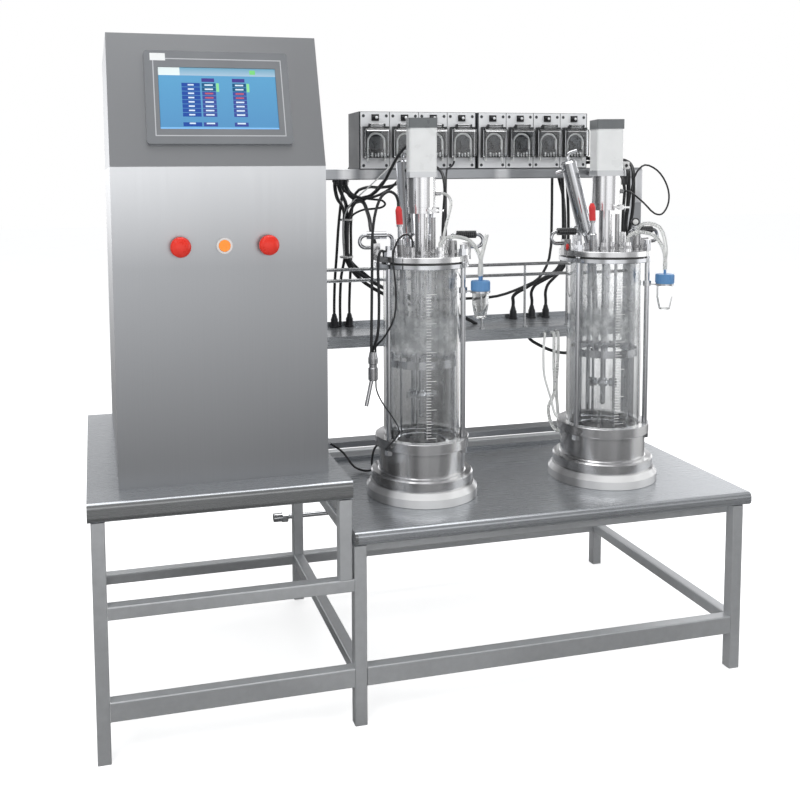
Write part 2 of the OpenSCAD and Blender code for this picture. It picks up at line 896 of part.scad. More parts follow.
module pump_cases() {
  screw_r = 2.5;
  switch_w = 18;
  switch_h = 15;
  color("gainsboro")
  placed() {
    for (c = [0, 1])
      translate([pump_x(c * PUMPS_PER_CASE) - pump_w / 2 - case_t, rack_y, beam_z])
        cube([case_w, case_d, pump_h]);
    // gland of the signal cable on the first case's back
    translate([pump_x(0) + case_gland_dx, rack_y + case_d - 1, beam_z + case_gland_up])
      rotate([-90, 0, 0])
        cylinder(h = gland_out + 5, r = 7);
    // front panels, each with its rocker switch and corner screws
    for (i = [0 : PUMPS - 1])
      translate([pump_x(i), panel_y, beam_z]) {
        translate([-pump_w / 2 + 0.5, 0, 1])
          cube([pump_w - 1, panel_t + 1, pump_h - 2]);
        translate([-switch_w / 2, -3, pump_h - 14 - switch_h / 2])
          cube([switch_w, 4, switch_h]);
        translate([-switch_w / 2 + 2, -3, pump_h - 14])
          rotate([0, 90, 0])
            cylinder(h = switch_w - 4, r = 4);
        for (x = [-1, 1], z = [8, pump_h - 10])
          translate([x * (pump_w / 2 - 8), 1, z])
            rotate([90, 0, 0])
              cylinder(h = 2.2, r = screw_r);
      }
  }
}

module at_pump(i) {
  placed()
    translate([pump_x(i), head_y, pump_mid_z])
      children();
}

ear_x = 18;
ear_w = 4;
module pump_heads() {
  slot = 2 * pump_tube_r + 1.2;
  ear_z = head_h / 2;
  axis_y = hinge_y - head_y;
  axis_z = hinge_z - pump_mid_z;
  ear_r = hinge_pin_r + knuckle_t;
  color("darkslategray")
  for (i = [0 : PUMPS - 1])
    at_pump(i) {
      difference() {
        translate([-head_w / 2, 0, -head_h / 2])
          cube([head_w, head_d, head_h]);
        // raceway, open below for the tube's two ends
        translate([0, -1, 0])
          rotate([-90, 0, 0])
            cylinder(h = race_d + 1, r = race_r);
        for (s = [-1, 1])
          translate([s * tube_circle_r - slot / 2, -1, -head_h / 2 - 1])
            cube([slot, race_d + 1, head_h / 2 + 1]);
        // bearing of the drive shaft
        translate([0, -1, 0])
          rotate([-90, 0, 0])
            cylinder(h = head_d - 1, r = spindle_r + run_gap);
      }
      // hinge ears and their pin
      for (s = [-1, 1])
        translate([s * ear_x - ear_w / 2, 0, 0]) {
          translate([0, axis_y, ear_z - 2])
            cube([ear_w, 8, axis_z - ear_z + 2]);
          translate([0, axis_y, axis_z])
            rotate([0, 90, 0])
              cylinder(h = ear_w, r = ear_r);
        }
      translate([-ear_x, axis_y, axis_z])
        rotate([0, 90, 0])
          cylinder(h = 2 * ear_x, r = hinge_pin_r);
    }
}

module pump_tubes() {
  tail = head_h / 2 + 8;
  tube_y = race_d - pump_tube_r - 1;
  color("whitesmoke")
  for (i = [0 : PUMPS - 1])
    at_pump(i)
      translate([0, tube_y, 0]) {
        rotate([90, 0, 0])
          rotate_extrude(angle = 180)
            translate([tube_circle_r, 0])
              difference() {
                circle(pump_tube_r);
                circle(pump_tube_r - pump_tube_t);
              }
        for (s = [-1, 1])
          translate([s * tube_circle_r, 0, -tail])
            difference() {
              cylinder(h = tail, r = pump_tube_r);
              translate([0, 0, -1])
                cylinder(h = tail + 2, r = pump_tube_r - pump_tube_t);
            }
      }
}

// Rotor: a back disc, three rollers and a three-armed front plate on the shaft
module pump_rotor(i) {
  disc_r = roller_circle_r + roller_r - 1;
  roller_y = 2;
  roller_l = race_d - 4.5;
  color("silver")
  at_pump(i)
    rotate([-90, 0, 0]) {
      translate([0, 0, 1.5])
        cylinder(h = head_d - 4, r = spindle_r);
      translate([0, 0, race_d - 2.5])
        cylinder(h = 2, r = disc_r);
      translate([0, 0, 1])
        cylinder(h = 3, r = spindle_r + 3);
      for (k = [0 : 2])
        rotate([0, 0, 90 + k * 120])
          translate([roller_circle_r, 0, 0]) {
            translate([0, 0, roller_y])
              cylinder(h = roller_l, r = roller_r);
            translate([-roller_circle_r, -2.5, 1])
              cube([roller_circle_r, 5, 2]);
            translate([0, 0, 1])
              cylinder(h = 2, r = 2.5);
          }
    }
}

// Clear flip cover, open towards the head, hung on the head's hinge pin
module pump_cover(i) {
  w = head_w - 2;
  h = head_h - 2;
  bevel = 5;
  axis_y = hinge_y - head_y;
  axis_z = hinge_z - pump_mid_z;
  knuckle_w = 2 * (ear_x - ear_w / 2 - seat_gap);
  knuckle_r = hinge_pin_r + knuckle_t;
  color("azure", 0.4)
  at_pump(i)
    difference() {
      union() {
        translate([-w / 2, 0, 0])
          rotate([90, 0, 90])
            linear_extrude(w)
              polygon([
                [-seat_gap, -h / 2], [-seat_gap, h / 2 - 4],
                [-cover_d + bevel, h / 2 - 4], [-cover_d, h / 2 - 4 - bevel],
                [-cover_d, -h / 2 + bevel], [-cover_d + bevel, -h / 2]
              ]);
        translate([-knuckle_w / 2, axis_y - knuckle_r, h / 2 - 10])
          cube([knuckle_w, cover_t, axis_z - h / 2 + 10]);
        translate([-knuckle_w / 2, axis_y, axis_z])
          rotate([0, 90, 0])
            cylinder(h = knuckle_w, r = knuckle_r);
      }
      translate([-w / 2 + cover_t, 0, 0])
        rotate([90, 0, 90])
          linear_extrude(w - 2 * cover_t)
            polygon([
              [1, -h / 2 + cover_t], [1, h / 2 - 4 - cover_t],
              [-cover_d + bevel + 0.8, h / 2 - 4 - cover_t],
              [-cover_d + cover_t, h / 2 - 4.8 - bevel],
              [-cover_d + cover_t, -h / 2 + bevel + 0.8],
              [-cover_d + bevel + 0.8, -h / 2 + cover_t]
            ]);
      translate([-knuckle_w, axis_y, axis_z])
        rotate([0, 90, 0])
          cylinder(h = 2 * knuckle_w, r = hinge_pin_r + run_gap);
    }
}

// ---------------------------------------------------------------- vessels

module locating_rings() {
  color("whitesmoke")
  for (i = [0, 1])
    at_vessel(i)
      rotate_extrude()
        polygon([
          [spigot_r + 0.5, 0], [ring_r - 1, 0], [ring_r, 1], [ring_r, ring_wall_h],
          [ring_top_r, ring_h], [spigot_r + 0.5, ring_h]
        ]);
}

module base_cup(i) {
  groove = 3;
  groove_h = 5;
  fillet = 2;
  spot_h = 0.5;
  nut_r = tie_r + 4 + seat_gap;
  hole_r = tie_r + seat_gap;
  color("silver")
  at_vessel(i)
    difference() {
      union() {
        rotate_extrude()
          polygon([
            [0, 2], [spigot_r - 2, 2], [spigot_r, 4], [spigot_r, step_z],
            [step_r - groove, step_z], [step_r - groove, step_z + groove_h],
            [step_r, step_z + groove_h + 1], [step_r, wall_z - 3], [step_r - 3, wall_z],
            [cup_r + fillet, wall_z], [cup_r, wall_z + fillet],
            [cup_r, cup_flange_z - fillet], [cup_r + fillet, cup_flange_z],
            [flange_r - 1, cup_flange_z], [flange_r, cup_flange_z + 1],
            [flange_r, cup_top - 1], [flange_r - 1, cup_top],
            [glass_r + seat_gap, cup_top], [glass_r + seat_gap, cup_top - seat_d],
            [well_r, cup_top - seat_d], [well_r, well_z + 12], [well_r - 12, well_z],
            [0, well_z]
          ]);
        // sockets of the water hose and of the temperature lead
        rotate([0, 0, socket_angle])
          translate([0, -cup_r + 8, socket_z])
            rotate([90, 0, 0])
              cylinder(h = socket_out + 8, r = 6);
        rotate([0, 0, lead_angle])
          translate([0, -flange_r + 8, lead_z])
            rotate([90, 0, 0])
              cylinder(h = 14, r = 4);
      }
      // holes for the tie rods, each with a relief in the wall for its nut
      for (a = tie_angles)
        rotate([0, 0, a])
          translate([0, -tie_circle_r, 0])
            rotate_extrude()
              polygon([
                [0, tie_foot - 1], [nut_r, tie_foot - 1], [nut_r, cup_flange_z + spot_h],
                [hole_r, cup_flange_z + spot_h], [hole_r, cup_top + 1], [0, cup_top + 1]
              ]);
    }
}

module glass_tube(i) {
  color("azure", 0.35)
  at_vessel(i)
    translate([0, 0, glass_z])
      difference() {
        cylinder(h = glass_l, r = glass_r);
        translate([0, 0, -1])
          cylinder(h = glass_l + 2, r = glass_r - glass_t);
      }
}

module clamp_rings() {
  color("silver")
  for (i = [0, 1])
    at_vessel(i) {
      difference() {
        rotate_extrude()
          polygon([
            [glass_r + seat_gap, clamp_z], [flange_r - 1, clamp_z],
            [flange_r, clamp_z + 1], [flange_r, gasket_z - 1],
            [flange_r - 1, gasket_z - seat_gap], [cage_r + 0.7, gasket_z - seat_gap],
            [cage_r + 0.7, glass_top + seat_gap], [glass_r + seat_gap, glass_top + seat_gap]
          ]);
        for (a = tie_angles)
          rotate([0, 0, a])
            translate([0, -tie_circle_r, clamp_z - 1])
              cylinder(h = clamp_h + 2, r = tie_r + seat_gap);
      }
      // head gasket, inside the tie rods
      rotate_extrude()
        translate([cage_r + 1, gasket_z])
          square([tie_circle_r - tie_r - cage_r - 2, gasket_t - seat_gap]);
    }
}

// Ports on the head plate: x, y, radius, height
ports = [
  [21, -58, 8, 18], [-20, -60, 6, 20], [56, -38, 9, 30], [57, 23, 7, 36],
  [20, 35, 6, 24], [-45, 54, 7, 30], [22, -13, 5, 78], [-44, -70, 5, 20],
  [78, 40, 5, 26], [36, -36, 5, 24]
];
port_cap = 2;
seam_turn = 35;

module head_plate(i) {
  color("silver")
  at_vessel(i)
    difference() {
      union() {
        rotate_extrude()
          polygon([
            [0, plate_z], [flange_r - 1, plate_z], [flange_r, plate_z + 1],
            [flange_r, plate_top - 1], [flange_r - 1, plate_top], [0, plate_top]
          ]);
        for (p = ports)
          translate([p[0], p[1], plate_top - 1]) {
            cylinder(h = p[3] + 1, r = p[2]);
            translate([0, 0, 5])
              cylinder(h = 7, r = p[2] + port_cap, $fn = 6);
          }
        // sockets of the probes
        for (p = probe_points[i])
          translate([p[0], p[1], plate_z + 1])
            rotate(probe_rotation(p))
              rotate([0, 0, seam_turn])
                cylinder(h = plate_t + 24, r = probe_r + 3.5);
        // socket of the condenser
        at_condenser(i)
          translate([0, 0, -4])
            cylinder(h = 16, r = 11);
        // lugs of the handles
        for (s = [0, 180])
          rotate([0, 0, handle_turns[i] + s])
            translate([lug_in, -lug_w / 2, plate_z + 1])
              cube([lug_out - lug_in, lug_w, plate_t + lug_h - 1]);
      }
      translate([0, 0, plate_z - 1])
        cylinder(h = plate_t + 2, r = shaft_r + 3);
      for (a = tie_angles)
        rotate([0, 0, a])
          translate([0, -tie_circle_r, plate_z - 1])
            cylinder(h = plate_t + 2, r = tie_r + seat_gap);
      for (p = probe_points[i])
        translate([p[0], p[1], plate_z])
          rotate(probe_rotation(p))
            translate([0, 0, -10])
              rotate([0, 0, seam_turn])
                cylinder(h = plate_t + 60, r = probe_r + seat_gap);
      at_condenser(i)
        translate([0, 0, -1])
          cylinder(h = 20, r = 7 + seat_gap);
      for (s = [0, 180])
        rotate([0, 0, handle_turns[i] + s]) {
          translate([handle_foot, 0, plate_top - 4])
            cylinder(h = 12, r = handle_rod_r + seat_gap);
          translate([lug_out - 6, 0, plate_top + grip_z - 2 * handle_turn_r])
            rotate([0, 90, 0])
              cylinder(h = 12, r = handle_rod_r + seat_gap);
        }
    }
}

// A probe leans outward by the tilt, away from the vessel's axis
function probe_rotation(p) = [0, probe_tilt, atan2(p[1], p[0])];

module at_condenser(i) {
  translate([condenser_foot[0], condenser_foot[1], plate_top])
    rotate([0, 0, condenser_turns[i]])
      rotate([-condenser_lean, 0, 0])
        children();
}

module tie_rods() {
  arm_z = bracket_z - 6;
  arm_l = bottle_out - tie_circle_r;
  color("silver")
  for (i = [0, 1])
    at_vessel(i) {
      for (a = tie_angles)
        rotate([0, 0, a])
          translate([0, -tie_circle_r, 0]) {
            translate([0, 0, tie_foot])
              cylinder(h = plate_top + tie_nut_h * 0.6 - tie_foot, r = tie_r);
            translate([0, 0, tie_foot])
              cylinder(h = tie_nut_h / 2 - seat_gap, r = tie_r + 4, $fn = 6);
            translate([0, 0, plate_top + seat_gap])
              cylinder(h = tie_nut_h * 0.6, r = tie_r + 4.5, $fn = 6);
            translate([0, 0, plate_top + tie_nut_h * 0.6])
              cylinder(h = tie_nut_h * 0.4, r = tie_r + 1.5);
          }
      // bracket that carries the sample bottle on the front right rod
      rotate([0, 0, bracket_turn])
        translate([0, -tie_circle_r, arm_z]) {
          cylinder(h = 12, r = tie_r + 3.5);
          translate([-3, 1 + bottle_r - arm_l, 2.5])
            cube([6, arm_l - bottle_r - 1, 3]);
        }
      rotate([0, 0, bracket_turn])
        translate([0, -bottle_out, bracket_z - 4])
          difference() {
            cylinder(h = 4, r = bottle_r + 4);
            translate([0, 0, -1])
              cylinder(h = 6, r = bottle_r + seat_gap);
          }
    }
}

module drive_columns() {
  bush = 12;
  wing_l = 34;
  color("silver")
  for (i = [0, 1])
    at_vessel(i) {
      difference() {
        rotate_extrude() {
          // column with its foot and its upper flange
          translate([0, plate_top])
            square([column_r + 4, ferrule_h]);
          translate([0, plate_top])
            square([column_r, column_h + 2 * ferrule_h]);
          translate([0, column_top])
            square([ferrule_r, ferrule_h - 0.5]);
        }
        translate([0, 0, plate_top - 1])
          cylinder(h = column_h + 3 * ferrule_h, r = shaft_r + 2);
      }
      // bearing bushes
      for (z = [plate_top + ferrule_h, column_top - bush])
        translate([0, 0, z])
          difference() {
            cylinder(h = bush, r = shaft_r + 2.2);
            translate([0, 0, -1])
              cylinder(h = bush + 2, r = shaft_r + run_gap);
          }
      // coupling housing
      difference() {
        rotate_extrude() {
          translate([0, column_top + ferrule_h])
            square([ferrule_r, ferrule_h]);
          translate([0, housing_z])
            square([housing_r, housing_h]);
        }
        translate([0, 0, column_top])
          cylinder(h = 3 * ferrule_h, r = shaft_r + 2);
        translate([0, 0, housing_z + housing_t])
          cylinder(h = housing_h, r = housing_r - housing_t);
      }
      // speed sensor on the housing's side
      translate([housing_r - 1, 0, outlet_z])
        rotate([0, 90, 0])
          cylinder(h = outlet_out + 1, r = 5);
      // clamp round the two flanges, with its wing nut on a bolt
      difference() {
        union() {
          translate([0, 0, column_top - 1.5])
            cylinder(h = 2 * ferrule_h + 3 - 1.5, r = tri_clamp_r);
          rotate([0, 0, -30]) {
            translate([tri_clamp_r - 4, -8, column_top])
              cube([16, 16, 2 * ferrule_h - 1]);
            translate([tri_clamp_r + 6, -8, column_top + ferrule_h - 0.5])
              rotate([90, 0, 0])
                cylinder(h = 26, r = 3);
            translate([tri_clamp_r + 6 - wing_l / 2, -26, column_top + ferrule_h - 2.5])
              cube([wing_l, 4, 4]);
            translate([tri_clamp_r + 6, -18, column_top + ferrule_h - 0.5])
              rotate([90, 0, 0])
                cylinder(h = 12, r = 5.5);
          }
        }
        translate([0, 0, column_top - seat_gap])
          cylinder(h = 2 * ferrule_h + 2 * seat_gap - 0.3, r = ferrule_r + seat_gap);
        translate([0, 0, column_top - 3])
          cylinder(h = 3 * ferrule_h, r = column_r + seat_gap);
        translate([0, 0, housing_z - seat_gap])
          cylinder(h = 4, r = housing_r + 1);
      }
    }
}

module stirrer_motors() {
  corner = 3;
  body_z = motor_z + motor_flange_h;
  color("gainsboro")
  for (i = [0, 1])
    at_vessel(i)
      rotate([0, 0, motor_turn]) {
        translate([-motor_w / 2, -motor_w / 2, motor_z])
          linear_extrude(motor_flange_h)
            rounded_rect(motor_w, motor_w, corner);
        translate([-motor_w / 2 + 1, -motor_w / 2 + 1, body_z])
          linear_extrude(motor_h)
            rounded_rect(motor_w - 2, motor_w - 2, corner + 2);
        translate([-motor_w / 2, -motor_w / 2, body_z + motor_h])
          linear_extrude(motor_cap_h)
            rounded_rect(motor_w, motor_w, corner);
        // plug of the motor's cable
        translate([-8, motor_w / 2 - 2, body_z + plug_up - 10])
          cube([16, plug_out + 1, 20]);
        // pilot and shaft that reach into the coupling housing
        translate([0, 0, motor_z - 2])
          cylinder(h = 3, r = housing_r - housing_t - 1);
        translate([0, 0, coupling_z + coupling_h + 1])
          cylinder(h = motor_z - coupling_z - coupling_h, r = 5);
      }
}

module stirrer(i) {
  hub_r = 10;
  disc_r = impeller_r * 0.68;
  color("silver")
  at_vessel(i) {
    translate([0, 0, shaft_low])
      cylinder(h = coupling_z - shaft_low + 1, r = shaft_r);
    translate([0, 0, coupling_z])
      cylinder(h = coupling_h, r = coupling_r);
    for (z = [well_z + impeller_low, well_z + impeller_low + impeller_pitch])
      translate([0, 0, z]) {
        translate([0, 0, -8])
          cylinder(h = 16, r = hub_r);
        translate([0, 0, -1])
          cylinder(h = 2, r = disc_r);
        for (k = [0 : 5])
          rotate([0, 0, k * 60])
            translate([disc_r - 8, -blade_t / 2, -blade_h / 2])
              cube([impeller_r - disc_r + 8, blade_t, blade_h]);
      }
    // round nose at the shaft's lower end
    translate([0, 0, shaft_low])
      sphere(shaft_r);
  }
}

module baffle_cage(i) {
  low = well_z + 100;
  ring_t = 2;
  rings = [[low, 8], [plate_z - 222, cage_ring_h], [plate_z - 12, 8]];
  sparger_z = well_z + 92;
  sparger_r = 55;
  pipe_w = 6;
  baffle_turn = 80;
  color("silver")
  at_vessel(i) {
    for (r = rings)
      translate([0, 0, r[0]])
        difference() {
          cylinder(h = r[1], r = cage_r);
          translate([0, 0, -1])
            cylinder(h = r[1] + 2, r = cage_r - ring_t);
        }
    for (k = [0 : 3])
      rotate([0, 0, baffle_turn + k * 90])
        translate([cage_r - baffle_w - 1, -baffle_t / 2, low])
          cube([baffle_w, baffle_t, plate_z - seat_gap - low]);
    // gas sparger below the lower impeller: a ring and its feed pipe
    translate([0, 0, sparger_z])
      difference() {
        cylinder(h = pipe_w, r = sparger_r + pipe_w / 2);
        translate([0, 0, -1])
          cylinder(h = pipe_w + 2, r = sparger_r - pipe_w / 2);
      }
    rotate([0, 0, baffle_turn + 45])
      translate([sparger_r, 0, sparger_z + 2])
        cylinder(h = plate_z - seat_gap - sparger_z - 2, r = pipe_w / 2 - 0.5);
    // brackets between the sparger's ring and the cage
    for (k = [0, 2])
      rotate([0, 0, baffle_turn + k * 90]) {
        translate([sparger_r, -2, sparger_z + 1])
          cube([cage_r - sparger_r - 1, 4, 4]);
        translate([cage_r - 5, -2, sparger_z + 1])
          cube([4, 4, low - sparger_z + 1]);
      }
  }
}

module condensers() {
  neck = 40;
  outlet_bend = 12;
  top = neck + condenser_l;
  color("silver")
  for (i = [0, 1])
    at_vessel(i)
      at_condenser(i) {
        rotate_extrude()
          polygon([
            [0, 0], [7, 0], [7, neck - 10], [condenser_r - 4, neck - 3],
            [condenser_r, neck], [condenser_r, top], [condenser_r - 4, top + 4],
            [0, top + 4]
          ]);
        // bent outlet pipe
        translate([0, 0, top + 3])
          cylinder(h = 5, r = 4);
        translate([0, -outlet_bend, top + 8])
          rotate([90, 0, 90])
            rotate_extrude(angle = 90)
              translate([outlet_bend, 0])
                circle(4);
        translate([0, -outlet_bend - 14, top + 8 + outlet_bend])
          rotate([-90, 0, 0])
            cylinder(h = 14, r = 4);
        // water connections
        for (z = [neck + 14, top - 14])
          translate([0, condenser_r - 2, z])
            rotate([-90, 0, 0]) {
              cylinder(h = 12, r = 4);
              translate([0, 0, 11])
                cylinder(h = 9, r1 = 5, r2 = 3.5);
            }
      }
}

module probes() {
  color("firebrick")
  for (i = [0, 1])
    at_vessel(i)
      for (p = probe_points[i])
        translate([p[0], p[1], plate_z])
          rotate(probe_rotation(p))
            rotate_extrude()
              polygon([
                [0, -probe_down], [probe_r - 2, -probe_down],
                [probe_r, 4 - probe_down],
                [probe_r, plate_t + 25], [probe_r + 2.5, plate_t + 25],
                [probe_r + 2.5, plate_t + 36], [probe_r, plate_t + 38],
                [probe_r - 1, plate_t + probe_up], [probe_cap_r, plate_t + probe_up],
                [probe_cap_r, plate_t + probe_up + probe_cap_h - 8],
                [3.5, plate_t + probe_up + probe_cap_h],
                [0, plate_t + probe_up + probe_cap_h]
              ]);
}

// Bent rod from the head plate out to its rim, with a grip on the level part
module grip_handles() {
  z0 = plate_top - 4 + seat_gap;
  level = plate_top + grip_z;
  low = level - 2 * handle_turn_r;
  color("black")
  for (i = [0, 1], s = [0, 180])
    at_vessel(i)
      rotate([0, 0, handle_turns[i] + s]) {
        translate([handle_foot, 0, z0])
          cylinder(h = level - handle_bend - z0, r = handle_rod_r);
        translate([handle_foot + handle_bend, 0, level - handle_bend])
          rotate([90, 0, 0])
            rotate_extrude(angle = 90, start = 90)
              translate([handle_bend, 0])
                circle(handle_rod_r);
        translate([handle_foot + handle_bend, 0, level])
          rotate([0, 90, 0])
            cylinder(h = handle_end - handle_foot - handle_bend, r = handle_rod_r);
        translate([handle_foot + handle_bend + 2, 0, level])
          rotate([0, 90, 0])
            cylinder(h = grip_l, r = grip_r);
        translate([handle_end, 0, level - handle_turn_r])
          rotate([90, 0, 0])
            rotate_extrude(angle = 180, start = -90)
              translate([handle_turn_r, 0])
                circle(handle_rod_r);
        translate([lug_out - 6 + seat_gap, 0, low])
          rotate([0, 90, 0])
            cylinder(h = handle_end - lug_out + 6 - seat_gap, r = handle_rod_r);
      }
}

module at_bottle(i) {
  at_vessel(i)
    rotate([0, 0, bracket_turn])
      translate([0, -bottle_out, bracket_z])
        children();
}

module sample_bottles() {
  neck_r = bottle_r - 3;
  shoulder = 5;
  waist = bottle_h / 2;
  color("azure", 0.5)
  for (i = [0, 1])
    at_bottle(i)
      rotate_extrude()
        polygon([
          [0, -bottle_h], [bottle_r - 7, -bottle_h], [bottle_r - 5, -bottle_h + 2],
          [bottle_r, -waist], [bottle_r, -shoulder], [neck_r, 0], [neck_r, cap_h - 6],
          [neck_r - bottle_t, cap_h - 6], [neck_r - bottle_t, -0.5],
          [bottle_r - bottle_t, -shoulder - 0.5], [bottle_r - bottle_t, -waist],
          [bottle_r - 5 - bottle_t, -bottle_h + 4], [bottle_r - 8, -bottle_h + bottle_t],
          [0, -bottle_h + bottle_t]
        ]);
}

module bottle_caps() {
  neck_r = bottle_r - 3;
  ribs = 24;
  color("royalblue")
  for (i = [0, 1])
    at_bottle(i) {
      difference() {
        union() {
          translate([0, 0, seat_gap])
            cylinder(h = cap_h - seat_gap, r = cap_r - 0.8);
          for (k = [0 : ribs - 1])
            rotate([0, 0, k * 360 / ribs])
              translate([cap_r - 1.4, -0.9, 2])
                cube([1.4, 1.8, cap_h - 4]);
        }
        translate([0, 0, -1])
          cylinder(h = cap_h - 5 + seat_gap, r = neck_r + seat_gap);
      }
      // two hose barbs on top
      for (x = [-barb_x, barb_x])
        translate([x, 0, cap_h - 1])
          cylinder(h = barb_h + 1, r = 2.5);
    }
}

// ---------------------------------------------------------------- water supply

module water_fittings() {
  y = back_y + tube + pipe_r + 5;
  z = 205;
  x0 = mid_leg_x - 44;
  x1 = mid_leg_x + 106;
  stub_y = 420;
  color("silver")
  placed() {
    // pipe on the back leg, with its union nut and elbow
    translate([x0 + 20, y, z])
      rotate([0, 90, 0])
        cylinder(h = x1 - x0 - 20, r = pipe_r);
    translate([x0, y, z])
      rotate([0, 90, 0]) {
        difference() {
          cylinder(h = 24, r = 11);
          translate([0, 0, -1])
            cylinder(h = 16, r = 7);
        }
        translate([0, 0, 22])
          cylinder(h = 14, r = 14, $fn = 6);
      }
    translate([x1, y, z])
      sphere(pipe_r + 2);
    translate([x1, y, z])
      cylinder(h = 40, r = pipe_r);
    translate([x1, y, z + 38])
      cylinder(h = 14, r1 = pipe_r + 3, r2 = pipe_r);
    // clip on the leg
    translate([mid_leg_x + 4, back_y + tube + weld_gap, z - 10])
      cube([tube - 8, 5, 20]);
    translate([mid_leg_x + 4, y, z])
      rotate([0, 90, 0])
        cylinder(h = tube - 8, r = pipe_r + 2);
    // two stubs on the cabinet's right side
    for (k = [0, 1])
      translate([cab_x + cab_w + weld_gap, stub_y - 26 * k, cab_bench_h + 26 + 20 * k])
        rotate([0, 90, 0]) {
          cylinder(h = 6, r = 13);
          cylinder(h = 44 - 14 * k, r = 6);
          translate([0, 0, 42 - 14 * k])
            cylinder(h = 5, r = 10);
        }
  }
}

// ---------------------------------------------------------------- cords

// Each route starts and ends on a fitting; the points between are set from
// the vessel's head, the rack, the shelf's connectors or the vessel's base.
function shifted(o, list) = [for (p = list) o + p];
function turned(a, p) = [p[0] * cos(a) - p[1] * sin(a), p[0] * sin(a) + p[1] * cos(a), p[2]];
function head_of(i) = [vessel_x[i], ves_y, ves_bench_h + plate_top];
function base_of(i) = [vessel_x[i], ves_y, ves_bench_h];
function connector_of(i) = [connector_x[i], connector_y, shelf_z + connector_h + 6];
function beam_of(i) = [vessel_x[i] + gland_dx, rack_y - gland_out, beam_z - gland_drop];
function probe_end(i, l) = base_of(i) + turned(atan2(probe_points[i][0][1], probe_points[i][0][0]),
  [norm(probe_points[i][0]) + l * sin(probe_tilt), 0, plate_z + l * cos(probe_tilt)]);
function barb_of(i, s) = base_of(i) + turned(bracket_turn, [s * barb_x, -bottle_out,
  bracket_z + cap_h + barb_h]);

cable_r = 3.5;
lead_r = 3;
wire_r = 2;
thin_r = 1.5;
hose_r = 4;
gland_dx = 90;
gland_out = 8;
gland_drop = 11;
case_gland_dx = 22;
case_gland_up = 40;
hose_x = vessel_x[1] - 10;
probe_l = plate_t + probe_up + probe_cap_h;
plug_l = 60;
plug_r = 10;

signal_route = concat(
  shifted(connector_of(0), [
    [0, 0, 0], [0, 0, 20], [0, -8, 80], [2, -20, 145], [8, -26, 240], [20, -28, 320]
  ]),
  shifted([pump_x(0) + case_gland_dx, rack_y + case_d + gland_out + 4, beam_z + case_gland_up], [
    [-48, 12, -30], [-20, 34, -8], [0, 24, 0], [0, 0, 0]
  ])
);
motor_route = concat(
  shifted(connector_of(1), [
    [0, 0, 0], [0, 0, 20], [0, -8, 80], [0, -20, 145], [0, -24, 240], [6, -45, 300]
  ]),
  shifted([vessel_x[0], rack_y, beam_z], [[-36, 45, -43], [-20, -15, -43], [0, -80, -33]]),
  shifted(base_of(0), [
    turned(motor_turn, [2, motor_w / 2 + plug_out + 60, motor_z + motor_flange_h + plug_up - 20]),
    turned(motor_turn, [0, motor_w / 2 + plug_out + 24, motor_z + motor_flange_h + plug_up]),
    turned(motor_turn, [0, motor_w / 2 + plug_out - 1, motor_z + motor_flange_h + plug_up])
  ])
);
head_route_a = concat(
  shifted(head_of(0), [[57, 23, 36], [57, 23, 50], [60, 26, 90], [64, 30, 135], [70, 60, 168]]),
  shifted(beam_of(0), [[-12, -100, 14], [-2, -40, 4], [0, -16, 0], [0, 0, 0]])
);
head_route_b = concat(
  shifted(head_of(1), [[57, 23, 36], [57, 23, 50], [60, 26, 90], [64, 30, 135], [70, 60, 168]]),
  shifted(beam_of(1), [[-12, -100, 14], [-2, -40, 4], [0, -16, 0], [0, 0, 0]])
);
probe_route = concat(
  [probe_end(0, probe_l), probe_end(0, probe_l + 12)],
  shifted(head_of(0), [
    [-72, -44, 128], [-86, -46, 134], [-102, -47, 124], [-114, -47, 96], [-121, -46, 50],
    [-122, -44, -30], [-123, -43, -110], [-124, -42, -195]
  ])
);
base_lead_route = concat(
  shifted(head_of(0), [
    [-115, -44, -195 - plug_l], [-114, -45, -275], [-104, -50, -300], [-84, -62, -332],
    [-74, -74, -360]
  ]),
  shifted(base_of(0), [
    turned(lead_angle, [0, -flange_r - 18, lead_z]),
    turned(lead_angle, [0, -flange_r - 6, lead_z])
  ])
);
head_lead_route = shifted(head_of(0), [
  [-44, -70, 20], [-44, -70, 34], [-58, -80, 48], [-78, -88, 40], [-90, -86, 8],
  [-84, -84, -60], [-86, -80, -120], [-104, -62, -165], [-116, -48, -184], [-116, -47, -195]
]);
sensor_route = concat(
  shifted(base_of(1), [
    [housing_r + outlet_out, 0, outlet_z], [housing_r + outlet_out + 14, 0, outlet_z]
  ]),
  shifted(head_of(1), [
    [78, 18, 122], [107, 20, 101], [136, 20, 76], [154, 20, 74], [169, 20, 93],
    [172, 20, 119], [162, 20, 148], [140, 20, 174], [110, 22, 186], [92, 26, 170],
    [82, 34, 120], [78, 40, 60], [78, 40, 26]
  ])
);
feed_route_a = concat(
  shifted(head_of(0), [[21, -58, 18], [21, -58, 26], [32, -59, 37], [56, -60, 39], [84, -64, 30]]),
  shifted(barb_of(0, 1), [[-4, 2, 44], [0, 0, 16], [0, 0, 0]])
);
riser_route = shifted(barb_of(0, -1), [
  [0, 0, 0], [0, 0, 16], [4, -1, 42], [10, -2, 66], [15, -2, 86]
]);
vent_route = concat(
  shifted(head_of(0), [[36, -36, 24], [36, -36, 36], [46, -32, 72], [58, -22, 104]]),
  shifted(base_of(0), [
    [housing_r + outlet_out + 18, -6, outlet_z - 8], [housing_r + outlet_out + 8, 0, outlet_z],
    [housing_r + outlet_out, 0, outlet_z]
  ])
);
feed_route_b = concat(
  shifted(head_of(1), [[21, -58, 18], [21, -58, 26], [32, -59, 37], [56, -60, 39], [84, -64, 30]]),
  shifted(barb_of(1, 1), [[-4, 2, 44], [0, 0, 16], [0, 0, 0]])
);
